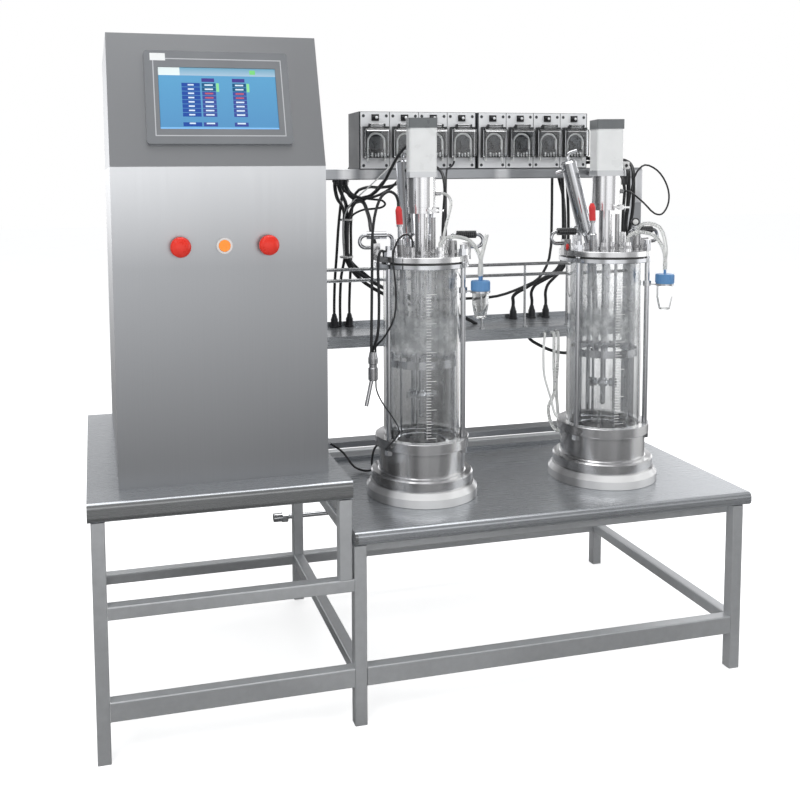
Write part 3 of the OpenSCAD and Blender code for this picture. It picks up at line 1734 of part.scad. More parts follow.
return_route_b = concat(
  shifted(head_of(1), [[56, -38, 30], [56, -38, 42], [68, -46, 57], [92, -68, 50]]),
  shifted(barb_of(1, -1), [[2, 0, 50], [0, 0, 16], [0, 0, 0]])
);
water_route = concat(
  shifted([hose_x, shelf_y - barb_h + 2, shelf_z - shelf_lip / 2], [
    [0, 0, 0], [0, -14, 0], [-6, -28, -22], [-16, -48, -77], [-28, -74, -137]
  ]),
  shifted(base_of(1), [
    turned(socket_angle, [-14, -cup_r - socket_out - 44, socket_z + 46]),
    turned(socket_angle, [-5, -cup_r - socket_out - 30, socket_z + 12]),
    turned(socket_angle, [0, -cup_r - socket_out - 14, socket_z]),
    turned(socket_angle, [0, -cup_r - socket_out, socket_z])
  ])
);

module cable_harness() {
  color("black")
  placed() {
    swept(signal_route, cable_r);
    swept(motor_route, cable_r);
    swept(head_route_a, cable_r);
    swept(head_route_b, cable_r);
  }
}

module sensor_leads() {
  color("black")
  placed() {
    swept(probe_route, lead_r);
    swept(base_lead_route, thin_r);
    swept(head_lead_route, wire_r);
    swept(sensor_route, wire_r);
  }
}

// Coupler on the probe's lead, with its black boot
module lead_coupler() {
  o = head_of(0) + [-121, -44, -195 - plug_l];
  color("gray")
  placed() {
    translate(o)
      rotate_extrude()
        polygon([
          [0, 0.01], [plug_r - 2, 0.01], [plug_r, 2], [plug_r, 26], [plug_r - 2, 28],
          [plug_r - 2, 34], [plug_r, 36], [plug_r, 46], [plug_r - 3, plug_l - 0.01],
          [0, plug_l - 0.01]
        ]);
    rod(o + [-3, 0, 2], o + [-16, -4, -52], 4);
  }
}

module silicone_tubing() {
  color("whitesmoke")
  placed() {
    swept(feed_route_a, hose_r);
    swept(riser_route, hose_r);
    swept(vent_route, lead_r);
    swept(feed_route_b, hose_r);
    swept(return_route_b, hose_r);
    swept(water_route, hose_r);
  }
}

// ---------------------------------------------------------------- drawing

bench_frame();
cabinet_bench_top();
vessel_bench_top();
cabinet_shell();
cabinet_rear_panel();
control_gear();
screen_housing();
screen_glass();
emergency_stop_left();
emergency_stop_right();
power_button();
button_collars();
rack_frame();
instrument_shelf();
shelf_railing();
cable_connectors();
pump_cases();
pump_heads();
pump_tubes();
pump_rotor(0);  // pump_rotor_1
pump_rotor(1);  // pump_rotor_2
pump_rotor(2);  // pump_rotor_3
pump_rotor(3);  // pump_rotor_4
pump_rotor(4);  // pump_rotor_5
pump_rotor(5);  // pump_rotor_6
pump_rotor(6);  // pump_rotor_7
pump_rotor(7);  // pump_rotor_8
pump_cover(0);  // pump_cover_1
pump_cover(1);  // pump_cover_2
pump_cover(2);  // pump_cover_3
pump_cover(3);  // pump_cover_4
pump_cover(4);  // pump_cover_5
pump_cover(5);  // pump_cover_6
pump_cover(6);  // pump_cover_7
pump_cover(7);  // pump_cover_8
base_cup(0);  // base_cup_a
base_cup(1);  // base_cup_b
glass_tube(0);  // glass_tube_a
glass_tube(1);  // glass_tube_b
clamp_rings();
head_plate(0);  // head_plate_a
head_plate(1);  // head_plate_b
drive_columns();
stirrer_motors();
stirrer(0);  // stirrer_a
stirrer(1);  // stirrer_b
baffle_cage(0);  // baffle_cage_a
baffle_cage(1);  // baffle_cage_b
locating_rings();
tie_rods();
condensers();
probes();
grip_handles();
sample_bottles();
bottle_caps();
water_fittings();
cable_harness();
sensor_leads();
lead_coupler();
silicone_tubing();
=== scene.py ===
import math
import bmesh
import bpy
from mathutils import Matrix, Vector


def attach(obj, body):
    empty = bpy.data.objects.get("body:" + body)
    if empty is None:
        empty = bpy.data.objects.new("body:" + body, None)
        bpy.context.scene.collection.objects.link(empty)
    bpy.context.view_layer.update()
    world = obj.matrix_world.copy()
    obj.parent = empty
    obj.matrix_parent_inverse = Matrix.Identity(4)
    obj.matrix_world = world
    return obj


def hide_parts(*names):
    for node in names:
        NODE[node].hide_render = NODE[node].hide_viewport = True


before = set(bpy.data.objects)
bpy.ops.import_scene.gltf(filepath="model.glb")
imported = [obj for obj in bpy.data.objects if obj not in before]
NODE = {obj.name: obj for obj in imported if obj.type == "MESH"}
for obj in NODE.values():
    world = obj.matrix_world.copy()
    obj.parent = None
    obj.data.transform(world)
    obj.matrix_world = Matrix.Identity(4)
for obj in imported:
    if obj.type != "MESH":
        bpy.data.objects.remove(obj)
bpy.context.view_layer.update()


# ------------------------------------------------------------------ places
# All in mm from the part's left, front and floor, as in the part's source.
MIDDLE_X, MIDDLE_Y = 685, 335
VESSEL_X = (698, 1130)
VESSEL_Y, VESSEL_Z = 204, 387
PLATE_TOP = 900.8
PUMPS_X, PUMP_PITCH, CASE_GAP = 632, 71.5, 8
PUMP_FRONT, PUMP_Z = 428, 1145
CASE_BACK, CASE_UNDER, BEAM_UNDER = 540, 1083, 1058
BUNDLE_X, BUNDLE_Y = 629.5, 565.5


def at(x, y, z):
    """The frame's point, in metres, for a point in mm from the left, front and floor."""
    return Vector(((x - MIDDLE_X) / 1000, (y - MIDDLE_Y) / 1000, z / 1000))


def ves(i, x, y, z):
    """A point of vessel i, in mm from its axis and its bench."""
    return at(VESSEL_X[i] + x, VESSEL_Y + y, VESSEL_Z + z)


AXES = [ves(i, 0, 0, 0) for i in (0, 1)]


def pump_x(i):
    """The middle of pump i; the second case of four stands a gap further on."""
    return PUMPS_X + PUMP_PITCH * (i + 0.5) + (i // 4) * CASE_GAP


# ------------------------------------------------------------------ camera
EYE = (26.6, -1711.5, 1064)
YAW, PITCH, ROLL = 0.251, 0.086, -0.008
FOCAL_PX, PICTURE_PX, SENSOR_MM = 957.7, 800, 36
SHIFT_X, SHIFT_Y = 0.0762, -0.175


def make_camera():
    """The camera fitted to the photograph: angles in radians, the eye in mm."""
    ahead = Vector((math.sin(YAW) * math.cos(PITCH), math.cos(YAW) * math.cos(PITCH), -math.sin(PITCH)))
    right = Vector((math.cos(YAW), -math.sin(YAW), 0))
    up = right.cross(ahead)
    c, s = math.cos(ROLL), math.sin(ROLL)
    right, up = c * right + s * up, -s * right + c * up
    data = bpy.data.cameras.new("camera")
    data.sensor_width = SENSOR_MM
    data.lens = FOCAL_PX / PICTURE_PX * SENSOR_MM
    data.shift_x, data.shift_y = SHIFT_X, SHIFT_Y
    data.clip_start, data.clip_end = 0.05, 60
    cam = bpy.data.objects.new("camera", data)
    bpy.context.scene.collection.objects.link(cam)
    m = Matrix((right, up, -ahead)).transposed().to_4x4()
    m.translation = at(*EYE)
    cam.matrix_world = m
    bpy.context.scene.camera = cam


make_camera()


# ------------------------------------------------------------------ materials
class Nodes:
    """Small helper that writes a material's nodes."""

    def __init__(self, name):
        self.mat = bpy.data.materials.new(name)
        self.mat.use_nodes = True
        self.tree = self.mat.node_tree
        self.tree.nodes.clear()
        self.out = self.tree.nodes.new("ShaderNodeOutputMaterial")
        self.co = self.tree.nodes.new("ShaderNodeTexCoord").outputs["Object"]

    def link(self, a, b):
        self.tree.links.new(a, b)

    def put(self, socket, value):
        """Link a socket, or set a number or an RGB colour."""
        if isinstance(value, bpy.types.NodeSocket):
            self.link(value, socket)
        elif isinstance(value, tuple) and len(value) == 3:
            socket.default_value = (*value, 1.0)
        else:
            socket.default_value = value

    def math(self, op, a, b=0.0, c=0.0):
        n = self.tree.nodes.new("ShaderNodeMath")
        n.operation = op
        for s, v in zip(n.inputs, (a, b, c)):
            self.put(s, v)
        return n.outputs[0]

    def xyz(self, axes):
        """The named coordinates in metres; a single one by itself."""
        n = self.tree.nodes.new("ShaderNodeSeparateXYZ")
        self.link(self.co, n.inputs[0])
        found = [n.outputs[k] for k in axes]
        return found if len(found) > 1 else found[0]

    def scaled(self, scale):
        n = self.tree.nodes.new("ShaderNodeMapping")
        n.inputs["Scale"].default_value = scale
        self.link(self.co, n.inputs["Vector"])
        return n.outputs[0]

    def noise(self, scale, detail=3.0, rough=0.5, vector=None):
        n = self.tree.nodes.new("ShaderNodeTexNoise")
        n.inputs["Scale"].default_value = scale
        n.inputs["Detail"].default_value = detail
        n.inputs["Roughness"].default_value = rough
        self.link(vector or self.co, n.inputs["Vector"])
        return n.outputs["Fac"]

    def tone(self, *parts, low=0.3, high=0.7):
        """A blend of (texture, share) parts, stretched to run from 0 to 1."""
        shares = [self.math("MULTIPLY", texture, share) for texture, share in parts]
        return self.span(self.math("ADD", *shares), low, high)

    def brushed(self, grain, cloud, share=0.55, rough=0.5):
        """A fine one-way grain, and its tone with soft clouding."""
        fine = self.noise(1.0, 4.0, 0.6, self.scaled(grain))
        return fine, self.tone((fine, share), (self.noise(cloud, 3.0, rough), 1 - share))

    def ramp(self, value, stops):
        """An eased colour ramp through (position, RGBA) stops."""
        n = self.tree.nodes.new("ShaderNodeValToRGB")
        n.color_ramp.interpolation = "EASE"
        while len(n.color_ramp.elements) < len(stops):
            n.color_ramp.elements.new(0.5)
        for element, (place, colour) in zip(n.color_ramp.elements, stops):
            element.position = place
            element.color = colour
        self.link(value, n.inputs[0])
        return n.outputs["Color"]

    def span(self, value, a, b, lo=0.0, hi=1.0):
        """The value from a to b taken to lo to hi, and held at the ends."""
        n = self.tree.nodes.new("ShaderNodeMapRange")
        n.clamp = True
        self.put(n.inputs["Value"], value)
        for k, v in (("From Min", a), ("From Max", b), ("To Min", lo), ("To Max", hi)):
            n.inputs[k].default_value = v
        return n.outputs[0]

    def blend(self, fac, a, b):
        n = self.tree.nodes.new("ShaderNodeMix")
        n.data_type = "RGBA"
        for socket, value in ((n.inputs[0], fac), (n.inputs[6], a), (n.inputs[7], b)):
            self.put(socket, value)
        return n.outputs[2]

    def both(self, *masks):
        """Where all the masks hold."""
        m = masks[0]
        for k in masks[1:]:
            m = self.math("MULTIPLY", m, k)
        return m

    def between(self, v, a, b):
        """Where v lies from a to b."""
        return self.both(self.math("GREATER_THAN", v, a), self.math("LESS_THAN", v, b))

    def bump(self, height, strength, distance):
        n = self.tree.nodes.new("ShaderNodeBump")
        n.inputs["Strength"].default_value = strength
        n.inputs["Distance"].default_value = distance
        self.link(height, n.inputs["Height"])
        return n.outputs[0]

    def shader(self, **values):
        """The finished material; Base_Color and so on name the shader's inputs."""
        n = self.tree.nodes.new("ShaderNodeBsdfPrincipled")
        for k, v in values.items():
            self.put(n.inputs[k.replace("_", " ")], v)
        self.link(n.outputs[0], self.out.inputs[0])
        return self.mat


def shade(colour, k):
    return tuple(min(1.0, c * k) for c in colour)


def grained(name, colour, rough, grain, metal=1.0, wear=0.06, bump=0.15):
    """A metal with a fine grain and faint clouding."""
    n = Nodes(name)
    fine, tone = n.brushed(grain, 5.0, rough=0.55)
    return n.shader(
        Base_Color=n.blend(tone, shade(colour, 1 - wear), shade(colour, 1 + wear)),
        Metallic=metal,
        Roughness=n.span(tone, 0.0, 1.0, rough * 0.88, rough * 1.14),
        Normal=n.bump(fine, bump, 0.0004),
    )


def speckled(name, colour, rough, scale=900, wear=0.05, bump=0.2, metal=0.0, **more):
    """A moulded or powder-coated surface with a fine texture."""
    n = Nodes(name)
    fine = n.noise(scale, 2.0, 0.5)
    tone = n.tone((fine, 0.4), (n.noise(14.0, 3.0, 0.5), 0.6), low=0.32, high=0.68)
    return n.shader(
        Base_Color=n.blend(tone, shade(colour, 1 - wear), shade(colour, 1 + wear)),
        Metallic=metal,
        Roughness=n.span(tone, 0.0, 1.0, rough * 0.9, rough * 1.12),
        Normal=n.bump(fine, bump, 0.0003),
        **more,
    )


def clear(name, colour, rough, ior, dust):
    """Clear glass or plastic with a faint film that varies over it."""
    n = Nodes(name)
    film = n.span(n.noise(9.0, 4.0, 0.6, n.scaled((1, 1, 0.4))), 0.35, 0.75)
    return n.shader(
        Base_Color=n.blend(film, colour, shade(colour, 0.985)),
        Roughness=n.span(film, 0.0, 1.0, rough, rough + dust),
        IOR=ior,
        Transmission_Weight=1.0,
    )


MAT = {
    "frame": grained("frame_steel", (0.68, 0.695, 0.71), 0.34, metal=0.68, grain=(60, 60, 60), wear=0.07),
    "module": speckled("module_grey", (0.32, 0.33, 0.34), 0.55),
    "red": speckled("button_red", (0.78, 0.035, 0.02), 0.28, scale=300, wear=0.06, bump=0.05),
    "collar": grained("collar_metal", (0.62, 0.6, 0.58), 0.22, grain=(90, 90, 90)),
    "bright": grained("bright_steel", (0.58, 0.59, 0.6), 0.16, grain=(30, 30, 300), bump=0.05),
    "rubber": speckled("black_rubber", (0.022, 0.023, 0.025), 0.42, scale=700, wear=0.2),
    "connector": speckled("connector_black", (0.03, 0.031, 0.034), 0.35, wear=0.2),
    "head": speckled("head_plastic", (0.03, 0.032, 0.035), 0.4, wear=0.15),
    "silicone": speckled("silicone_rubber", (0.8, 0.81, 0.8), 0.28, scale=260, wear=0.03, bump=0.05,
                         Transmission_Weight=0.55, IOR=1.41),
    "cover": clear("clear_plastic", (0.96, 0.97, 0.98), 0.02, 1.49, 0.03),
    "polished": grained("polished_steel", (0.68, 0.69, 0.71), 0.12, grain=(18, 18, 240), wear=0.05,
                        bump=0.04),
    "glass": clear("vessel_glass", (0.985, 0.992, 0.992), 0.0, 1.47, 0.012),
    "blue": speckled("cap_blue", (0.13, 0.3, 0.56), 0.36, wear=0.06),
    "coupler": grained("coupler_metal", (0.5, 0.5, 0.51), 0.24, grain=(300, 300, 30)),
    "red_cap": speckled("red_cap", (0.6, 0.03, 0.03), 0.35, wear=0.08),
    "rotor": speckled("rotor_dark", (0.05, 0.055, 0.06), 0.2, scale=300, wear=0.3, metal=0.6),
    "hose": speckled("hose_milky", (0.86, 0.87, 0.86), 0.25, scale=300, wear=0.03, bump=0.05),
    "white": speckled("white_plastic", (0.82, 0.82, 0.81), 0.35, wear=0.03),
    "fascia": grained("fascia_alloy", (0.72, 0.73, 0.75), 0.34, metal=0.55, grain=(6, 300, 300), wear=0.03),
}


# Edges of painted zones, in metres on the frame.
MOTOR_FOOT_Z, MOTOR_CAP_Z = 1.0746, 1.1647
FOLD_Z = 1.0865
DISPLAY_X, DISPLAY_Z = (-0.5337, -0.3123), (1.2719, 1.1544)  # left to right, top to bottom
LINE_X, LINE_Z = (-0.42165, 0.12085), (1.2157, 0.0727)  # the bezel's line: middle, half its size
FASCIA_Y, SWITCH_Y = 0.1095, 0.1068
CASE_2_X = 0.237
GASKET_Z = 0.88555


def motor_material():
    """Pale body, dark cap above it, set by height on the motor."""
    n = Nodes("motor_body")
    z = n.xyz("Z")
    cap = n.math("GREATER_THAN", z, MOTOR_CAP_Z)
    foot = n.math("LESS_THAN", z, MOTOR_FOOT_Z)
    soft = n.span(n.noise(30.0, 3.0), 0.3, 0.7)
    pale = n.blend(soft, (0.74, 0.75, 0.75), (0.8, 0.81, 0.81))
    dark = n.blend(soft, (0.12, 0.13, 0.135), (0.15, 0.16, 0.165))
    steel = n.blend(soft, (0.5, 0.51, 0.52), (0.56, 0.57, 0.58))
    return n.shader(
        Base_Color=n.blend(cap, n.blend(foot, pale, steel), dark),
        Metallic=n.math("MULTIPLY", foot, 0.9),
        Roughness=n.span(soft, 0.0, 1.0, 0.26, 0.34),
        Normal=n.bump(n.noise(600.0, 2.0), 0.08, 0.0003),
    )


def lamp_material():
    """Orange lens that glows a little."""
    n = Nodes("button_orange")
    soft = n.span(n.noise(260.0, 2.0), 0.3, 0.7)
    colour = n.blend(soft, (0.86, 0.235, 0.025), (0.92, 0.29, 0.04))
    return n.shader(Base_Color=colour, Roughness=0.25, Emission_Color=colour, Emission_Strength=0.22)


def screen_material():
    """A plain running display: a pale header and rows of cells on blue, with no words."""
    n = Nodes("display")
    x, z = n.xyz("XZ")
    u = n.span(x, *DISPLAY_X)
    v = n.span(z, *DISPLAY_Z)
    colour = n.blend(n.span(v, 0.1, 1.0), (0.105, 0.33, 0.55), (0.09, 0.27, 0.5))
    head = n.math("LESS_THAN", v, 0.13)
    colour = n.blend(head, colour, n.blend(n.span(v, 0.0, 0.13), (0.16, 0.36, 0.5), (0.36, 0.5, 0.62)))
    colour = n.blend(n.both(n.math("LESS_THAN", u, 0.18), head), colour, (0.72, 0.8, 0.8))
    colour = n.blend(n.both(n.between(u, 0.775, 0.825), n.between(v, 0.03, 0.1)), colour, (0.2, 0.62, 0.2))
    colour = n.blend(n.math("GREATER_THAN", v, 0.965), colour, (0.22, 0.5, 0.85))
    row = n.math("FRACT", n.math("DIVIDE", n.math("SUBTRACT", v, 0.25), 0.069))
    rows = n.both(n.between(v, 0.25, 0.802), n.math("LESS_THAN", row, 0.9))
    last = n.between(v, 0.885, 0.95)
    low = n.math("GREATER_THAN", v, 0.39)
    for a, b, mark in ((0.19, 0.345, 0.05), (0.36, 0.478, 0.07), (0.62, 0.738, 0.07)):
        cell = n.both(n.between(u, a, b), n.math("MAXIMUM", rows, last))
        if a < 0.3:
            fill = (0.018, 0.07, 0.33)
        else:
            fill = n.blend(low, (0.012, 0.09, 0.2), (0.045, 0.07, 0.3))
            top = n.both(n.between(u, a, b - 0.01), n.between(v, 0.172, 0.232))
            colour = n.blend(top, colour, (0.06, 0.045, 0.25))
            pip = n.both(n.between(u, b + 0.004, b + 0.028), n.between(v, 0.25, 0.39))
            colour = n.blend(pip, colour, (0.25, 0.68, 0.3))
        colour = n.blend(cell, colour, fill)
        mid = (a + b) / 2
        dash = n.both(n.between(u, mid - mark / 2, mid + mark / 2), n.math("MAXIMUM", rows, last),
                      n.between(row, 0.28, 0.62))
        red = n.both(n.between(v, 0.39, 0.53), n.math("GREATER_THAN", u, 0.355))
        colour = n.blend(dash, colour, n.blend(red, (0.62, 0.74, 0.86), (0.5, 0.1, 0.13)))
    return n.shader(Base_Color=colour, Roughness=0.18, Emission_Color=colour, Emission_Strength=0.1,
                    Coat_Weight=0.3)


def cabinet_material():
    """Brushed sheet with painted light: a painted highlight under the fold, painted shade darker towards the
    bottom, and the slope darker as a painted reflection.
    """
    n = Nodes("cabinet_steel")
    z = n.xyz("Z")
    fine, tone = n.brushed((700, 700, 5), 2.0)
    # Painted highlight: a strip just under the fold, lighter up to the fold.
    painted_fold_highlight = n.both(n.span(z, 0.9, 1.075), n.math("LESS_THAN", z, FOLD_Z))
    slope = n.math("GREATER_THAN", z, FOLD_Z)
    # Painted shade: the front is darker towards the bottom.
    low = n.blend(n.span(z, 0.5, 0.9), (0.385, 0.395, 0.41), (0.45, 0.462, 0.478))
    colour = n.blend(painted_fold_highlight, low, (0.76, 0.775, 0.79))
    # Painted reflection: the slope darker than the painted highlight under the fold.
    colour = n.blend(slope, colour, (0.57, 0.585, 0.605))
    return n.shader(
        Base_Color=n.blend(tone, colour, n.blend(0.06, colour, (1.0, 1.0, 1.0))),
        Metallic=1.0,
        Roughness=n.span(tone, 0.0, 1.0, 0.34, 0.42),
        Normal=n.bump(fine, 0.12, 0.0004),
    )


def rack_material():
    """Brushed rack steel with three painted highlights on the front beam."""
    n = Nodes("rack_steel")
    x, y, z = n.xyz("XYZ")
    fine, tone = n.brushed((12, 700, 700), 9.0, 0.5)
    beam = n.both(n.math("GREATER_THAN", z, 1.056), n.math("LESS_THAN", y, 0.1125))
    # Painted highlights: three bright spots on the front beam at given places along it.
    painted_glints = 0.0
    for place in (600, 653, 990):
        off = n.math("ABSOLUTE", n.math("SUBTRACT", x, at(place, 0, 0).x))
        painted_glints = n.math("MAXIMUM", painted_glints, n.span(off, 0.008, 0.024, 1.0, 0.0))
    colour = n.blend(tone, (0.37, 0.382, 0.4), (0.45, 0.462, 0.48))
    return n.shader(
        Base_Color=n.blend(n.both(beam, painted_glints), colour, (0.85, 0.86, 0.87)),
        Metallic=0.9,
        Roughness=n.span(tone, 0.0, 1.0, 0.28, 0.37),
        Normal=n.bump(fine, 0.15, 0.0004),
    )


def bench_material():
    """Brushed tops, with painted shade along the cabinet bench's front edge."""
    n = Nodes("bench_steel")
    x, y = n.xyz("XY")
    fine, tone = n.brushed((5, 620, 620), 3.0)
    # Painted shade: the cabinet bench's front edge painted darker than its top.
    edge = n.both(n.math("LESS_THAN", y, -0.3325), n.math("LESS_THAN", x, -0.185))
    top = n.blend(tone, (0.49, 0.51, 0.535), (0.55, 0.57, 0.595))
    return n.shader(
        Base_Color=n.blend(edge, top, n.blend(tone, (0.27, 0.277, 0.28), (0.33, 0.337, 0.34))),
        Metallic=0.76,
        Roughness=n.span(tone, 0.0, 1.0, 0.24, 0.31),
        Normal=n.bump(fine, 0.15, 0.0004),
    )


def turned_material(name, metal, middle):
    """Polished turned steel: soft light and dark bands run down it, painted reflections set by the angle
    round the vessel's axis.
    """
    n = Nodes(name)
    x, y = n.xyz("XY")
    left, right = (axis.x for axis in AXES)
    on_right = n.math("GREATER_THAN", x, (left + right) / 2)
    axis_x = n.math("ADD", left, n.math("MULTIPLY", on_right, right - left))
    turn = n.math("ARCTAN2", n.math("SUBTRACT", x, axis_x), n.math("SUBTRACT", AXES[0].y, y))
    # Painted reflections: light and dark greys by the angle round the nearer vessel's axis.
    greys = [(0.0, 0.5), (0.14, 0.95), (0.24, 0.5), (0.29, 0.26), (0.335, 0.28), (0.378, 0.8),
             (0.425, middle), (0.472, middle * 1.3), (0.525, max(0.75, middle)), (0.565, 1.0), (0.6, 1.0),
             (0.64, 0.36), (0.72, 0.6), (0.8, 1.0), (0.91, 0.4), (1.0, 0.5)]
    painted_reflection_bands = [(place, (min(g, 1.0), min(g, 1.0), min(g * 1.015, 1.0), 1)) for place, g in greys]
    fine = n.noise(1.0, 3.0, 0.5, n.scaled((20, 20, 900)))
    return n.shader(
        Base_Color=n.ramp(n.span(turn, -math.pi, math.pi), painted_reflection_bands),
        Metallic=metal,
        Roughness=n.span(fine, 0.3, 0.7, 0.12, 0.2),
        Normal=n.bump(fine, 0.05, 0.0003),
    )


def bezel_material():
    """Grey moulded bezel with a pale line round the display and a blank pale plate."""
    n = Nodes("bezel_plastic")
    x, y, z = n.xyz("XYZ")
    soft = n.span(n.noise(14.0, 3.0), 0.32, 0.68)

    def outside(v, middle, half):
        return n.math("SUBTRACT", n.math("ABSOLUTE", n.math("SUBTRACT", v, middle)), half)

    from_edge = n.math("ABSOLUTE", n.math("MAXIMUM", outside(x, *LINE_X), outside(z, *LINE_Z)))
    line = n.math("LESS_THAN", from_edge, 0.0009)
    plate = n.both(n.between(x, -0.5477, -0.5195), n.between(z, 1.2845, 1.2985),
                   n.math("LESS_THAN", y, -0.19))
    colour = n.blend(soft, (0.185, 0.193, 0.205), (0.2, 0.208, 0.22))
    colour = n.blend(line, colour, (0.5, 0.51, 0.53))
    return n.shader(
        Base_Color=n.blend(plate, colour, (0.8, 0.81, 0.81)),
        Roughness=n.span(soft, 0.0, 1.0, 0.44, 0.54),
        Normal=n.bump(n.noise(900.0, 2.0), 0.15, 0.0003),
    )


def pump_case_material():
    """Dark case with pale fascias in front; dark screws, joints and rockers with a pale dot."""
    n = Nodes("pump_case")
    x, y, z = n.xyz("XYZ")
    soft = n.span(n.noise(20.0, 3.0), 0.3, 0.7)
    body = n.blend(soft, (0.06, 0.066, 0.072), (0.075, 0.081, 0.088))
    front = n.math("LESS_THAN", y, FASCIA_Y)
    colour = n.blend(front, body, n.blend(soft, (0.8, 0.81, 0.83), (0.86, 0.87, 0.88)))
    pitch, gap = PUMP_PITCH / 1000, CASE_GAP / 1000
    along = n.math("SUBTRACT", x, n.math("MULTIPLY", n.math("GREATER_THAN", x, CASE_2_X), gap))
    along = n.math("SUBTRACT", along, at(PUMPS_X, 0, 0).x)
    turn = n.math("FRACT", n.math("DIVIDE", along, pitch))
    off = n.math("SUBTRACT", n.math("MULTIPLY", turn, pitch), pitch / 2)
    side = n.math("ABSOLUTE", off)

    def spot(dx, dz, r):
        d = n.math("ADD", n.math("MULTIPLY", dx, dx), n.math("MULTIPLY", dz, dz))
        return n.both(front, n.math("LESS_THAN", d, r * r))

    corner = n.math("SUBTRACT", side, pitch / 2 - 0.008)
    joint = n.both(front, n.math("GREATER_THAN", side, pitch / 2 - 0.0007))
    colour = n.blend(joint, colour, (0.1, 0.105, 0.115))
    for height in (1.091, 1.206):
        colour = n.blend(spot(corner, n.math("SUBTRACT", z, height), 0.0036), colour, (0.06, 0.065, 0.07))
    switch = n.both(n.math("LESS_THAN", y, SWITCH_Y), n.math("GREATER_THAN", z, 1.192),
                    n.math("LESS_THAN", side, 0.016))
    colour = n.blend(switch, colour, (0.02, 0.02, 0.022))
    dot = spot(n.math("SUBTRACT", off, 0.0025), n.math("SUBTRACT", z, 1.202), 0.0034)
    colour = n.blend(dot, colour, (0.8, 0.81, 0.82))
    return n.shader(
        Base_Color=colour,
        Metallic=n.math("MULTIPLY", front, 0.25),
        Specular_IOR_Level=n.span(front, 0.0, 1.0, 0.12, 0.5),
        Roughness=n.span(soft, 0.0, 1.0, 0.34, 0.44),
        Normal=n.bump(n.noise(1.0, 3.0, 0.5, n.scaled((6, 300, 300))), 0.08, 0.0003),
    )


def from_axes(n, x, y):
    """Distance from the nearer vessel's axis."""
    far = []
    for axis in AXES:
        dx, dy = n.math("SUBTRACT", x, axis.x), n.math("SUBTRACT", y, axis.y)
        far.append(n.math("SQRT", n.math("ADD", n.math("MULTIPLY", dx, dx), n.math("MULTIPLY", dy, dy))))
    return n.math("MINIMUM", *far)


def grip_material():
    """Bright rods with black ribbed sleeves on three of the four grips, with painted shade in the ribs'
    grooves.
    """
    n = Nodes("grip")
    x, y, z = n.xyz("XYZ")
    r = from_axes(n, x, y)
    soft = n.span(n.noise(120.0, 3.0), 0.3, 0.7)
    not_first = n.math("GREATER_THAN", x, AXES[0].x)
    sleeve = n.both(n.math("GREATER_THAN", z, 0.932), n.between(r, 0.0735, 0.1165), not_first)
    rib = n.math("SINE", n.math("MULTIPLY", r, 1450.0))
    steel = n.blend(soft, (0.52, 0.53, 0.55), (0.58, 0.59, 0.61))
    # Painted shade: the grooves between the sleeves' ribs darker than the ridges.
    black = n.blend(n.span(rib, -1.0, 1.0), (0.012, 0.012, 0.013), (0.06, 0.062, 0.065))
    return n.shader(
        Base_Color=n.blend(sleeve, steel, black),
        Metallic=n.math("SUBTRACT", 1.0, sleeve),
        Roughness=n.span(soft, 0.0, 1.0, 0.14, 0.2),
        Normal=n.bump(n.math("MULTIPLY", rib, sleeve), 0.6, 0.0008),
    )


def probe_material():
    """Polished probes; the front one of each vessel has a red cap."""
    n = Nodes("probe_cap")
    y, z = n.xyz("YZ")
    soft = n.span(n.noise(60.0, 3.0), 0.3, 0.7)
    red = n.both(n.math("GREATER_THAN", z, 0.9665), n.math("LESS_THAN", y, -0.12))
    return n.shader(
        Base_Color=n.blend(red, n.blend(soft, (0.66, 0.67, 0.69), (0.72, 0.73, 0.75)),
                           n.blend(soft, (0.62, 0.035, 0.04), (0.7, 0.05, 0.05))),
        Metallic=n.math("SUBTRACT", 1.0, red),
        Roughness=n.span(red, 0.0, 1.0, 0.13, 0.4),
    )


def film_material():
    """Condensation and froth on the inside of the glass: thicker in the middle band, streaked above."""
    n = Nodes("glass_film")
    z = n.xyz("Z")
    runs = n.noise(1.0, 4.0, 0.6, n.scaled((70, 70, 5)))
    froth = n.noise(55.0, 6.0, 0.65)
    band = n.both(n.span(z, 0.69, 0.705), n.span(z, 0.785, 0.765))
    above = n.span(z, 0.77, 0.79)
    haze = n.math("ADD", n.math("MULTIPLY", band, 0.3), n.math("MULTIPLY", above, 0.16))
    haze = n.math("ADD", 0.1, haze)
    drops = n.math("ADD", 0.12, n.math("MULTIPLY", band, 0.4))
    drops = n.math("MULTIPLY", n.span(froth, 0.45, 0.75), drops)
    speck = n.math("ADD", drops, n.math("MULTIPLY", n.span(runs, 0.5, 0.75), 0.3))
    return n.shader(
        Base_Color=n.blend(n.span(froth, 0.3, 0.7), (0.62, 0.64, 0.66), (0.84, 0.85, 0.86)),
        Roughness=0.45,
        Alpha=n.math("MINIMUM", n.math("ADD", haze, speck), 0.85),
    )


def clamp_material():
    """Clamp rings in polished steel, with the pale gasket between them and the plate."""
    n = Nodes("clamp_ring")
    z = n.xyz("Z")
    pale = n.math("GREATER_THAN", z, GASKET_Z)
    soft = n.span(n.noise(1.0, 3.0, 0.5, n.scaled((18, 18, 240))), 0.3, 0.7)
    return n.shader(
        Base_Color=n.blend(pale, n.blend(soft, (0.56, 0.57, 0.59), (0.62, 0.63, 0.65)),
                           n.blend(soft, (0.6, 0.6, 0.58), (0.66, 0.66, 0.64))),
        Metallic=n.math("SUBTRACT", 1.0, pale),
        Roughness=n.span(pale, 0.0, 1.0, 0.14, 0.5),
    )


def dress(names, material):
    for name in names:
        mats = NODE[name].data.materials
        mats.clear()
        mats.append(material)


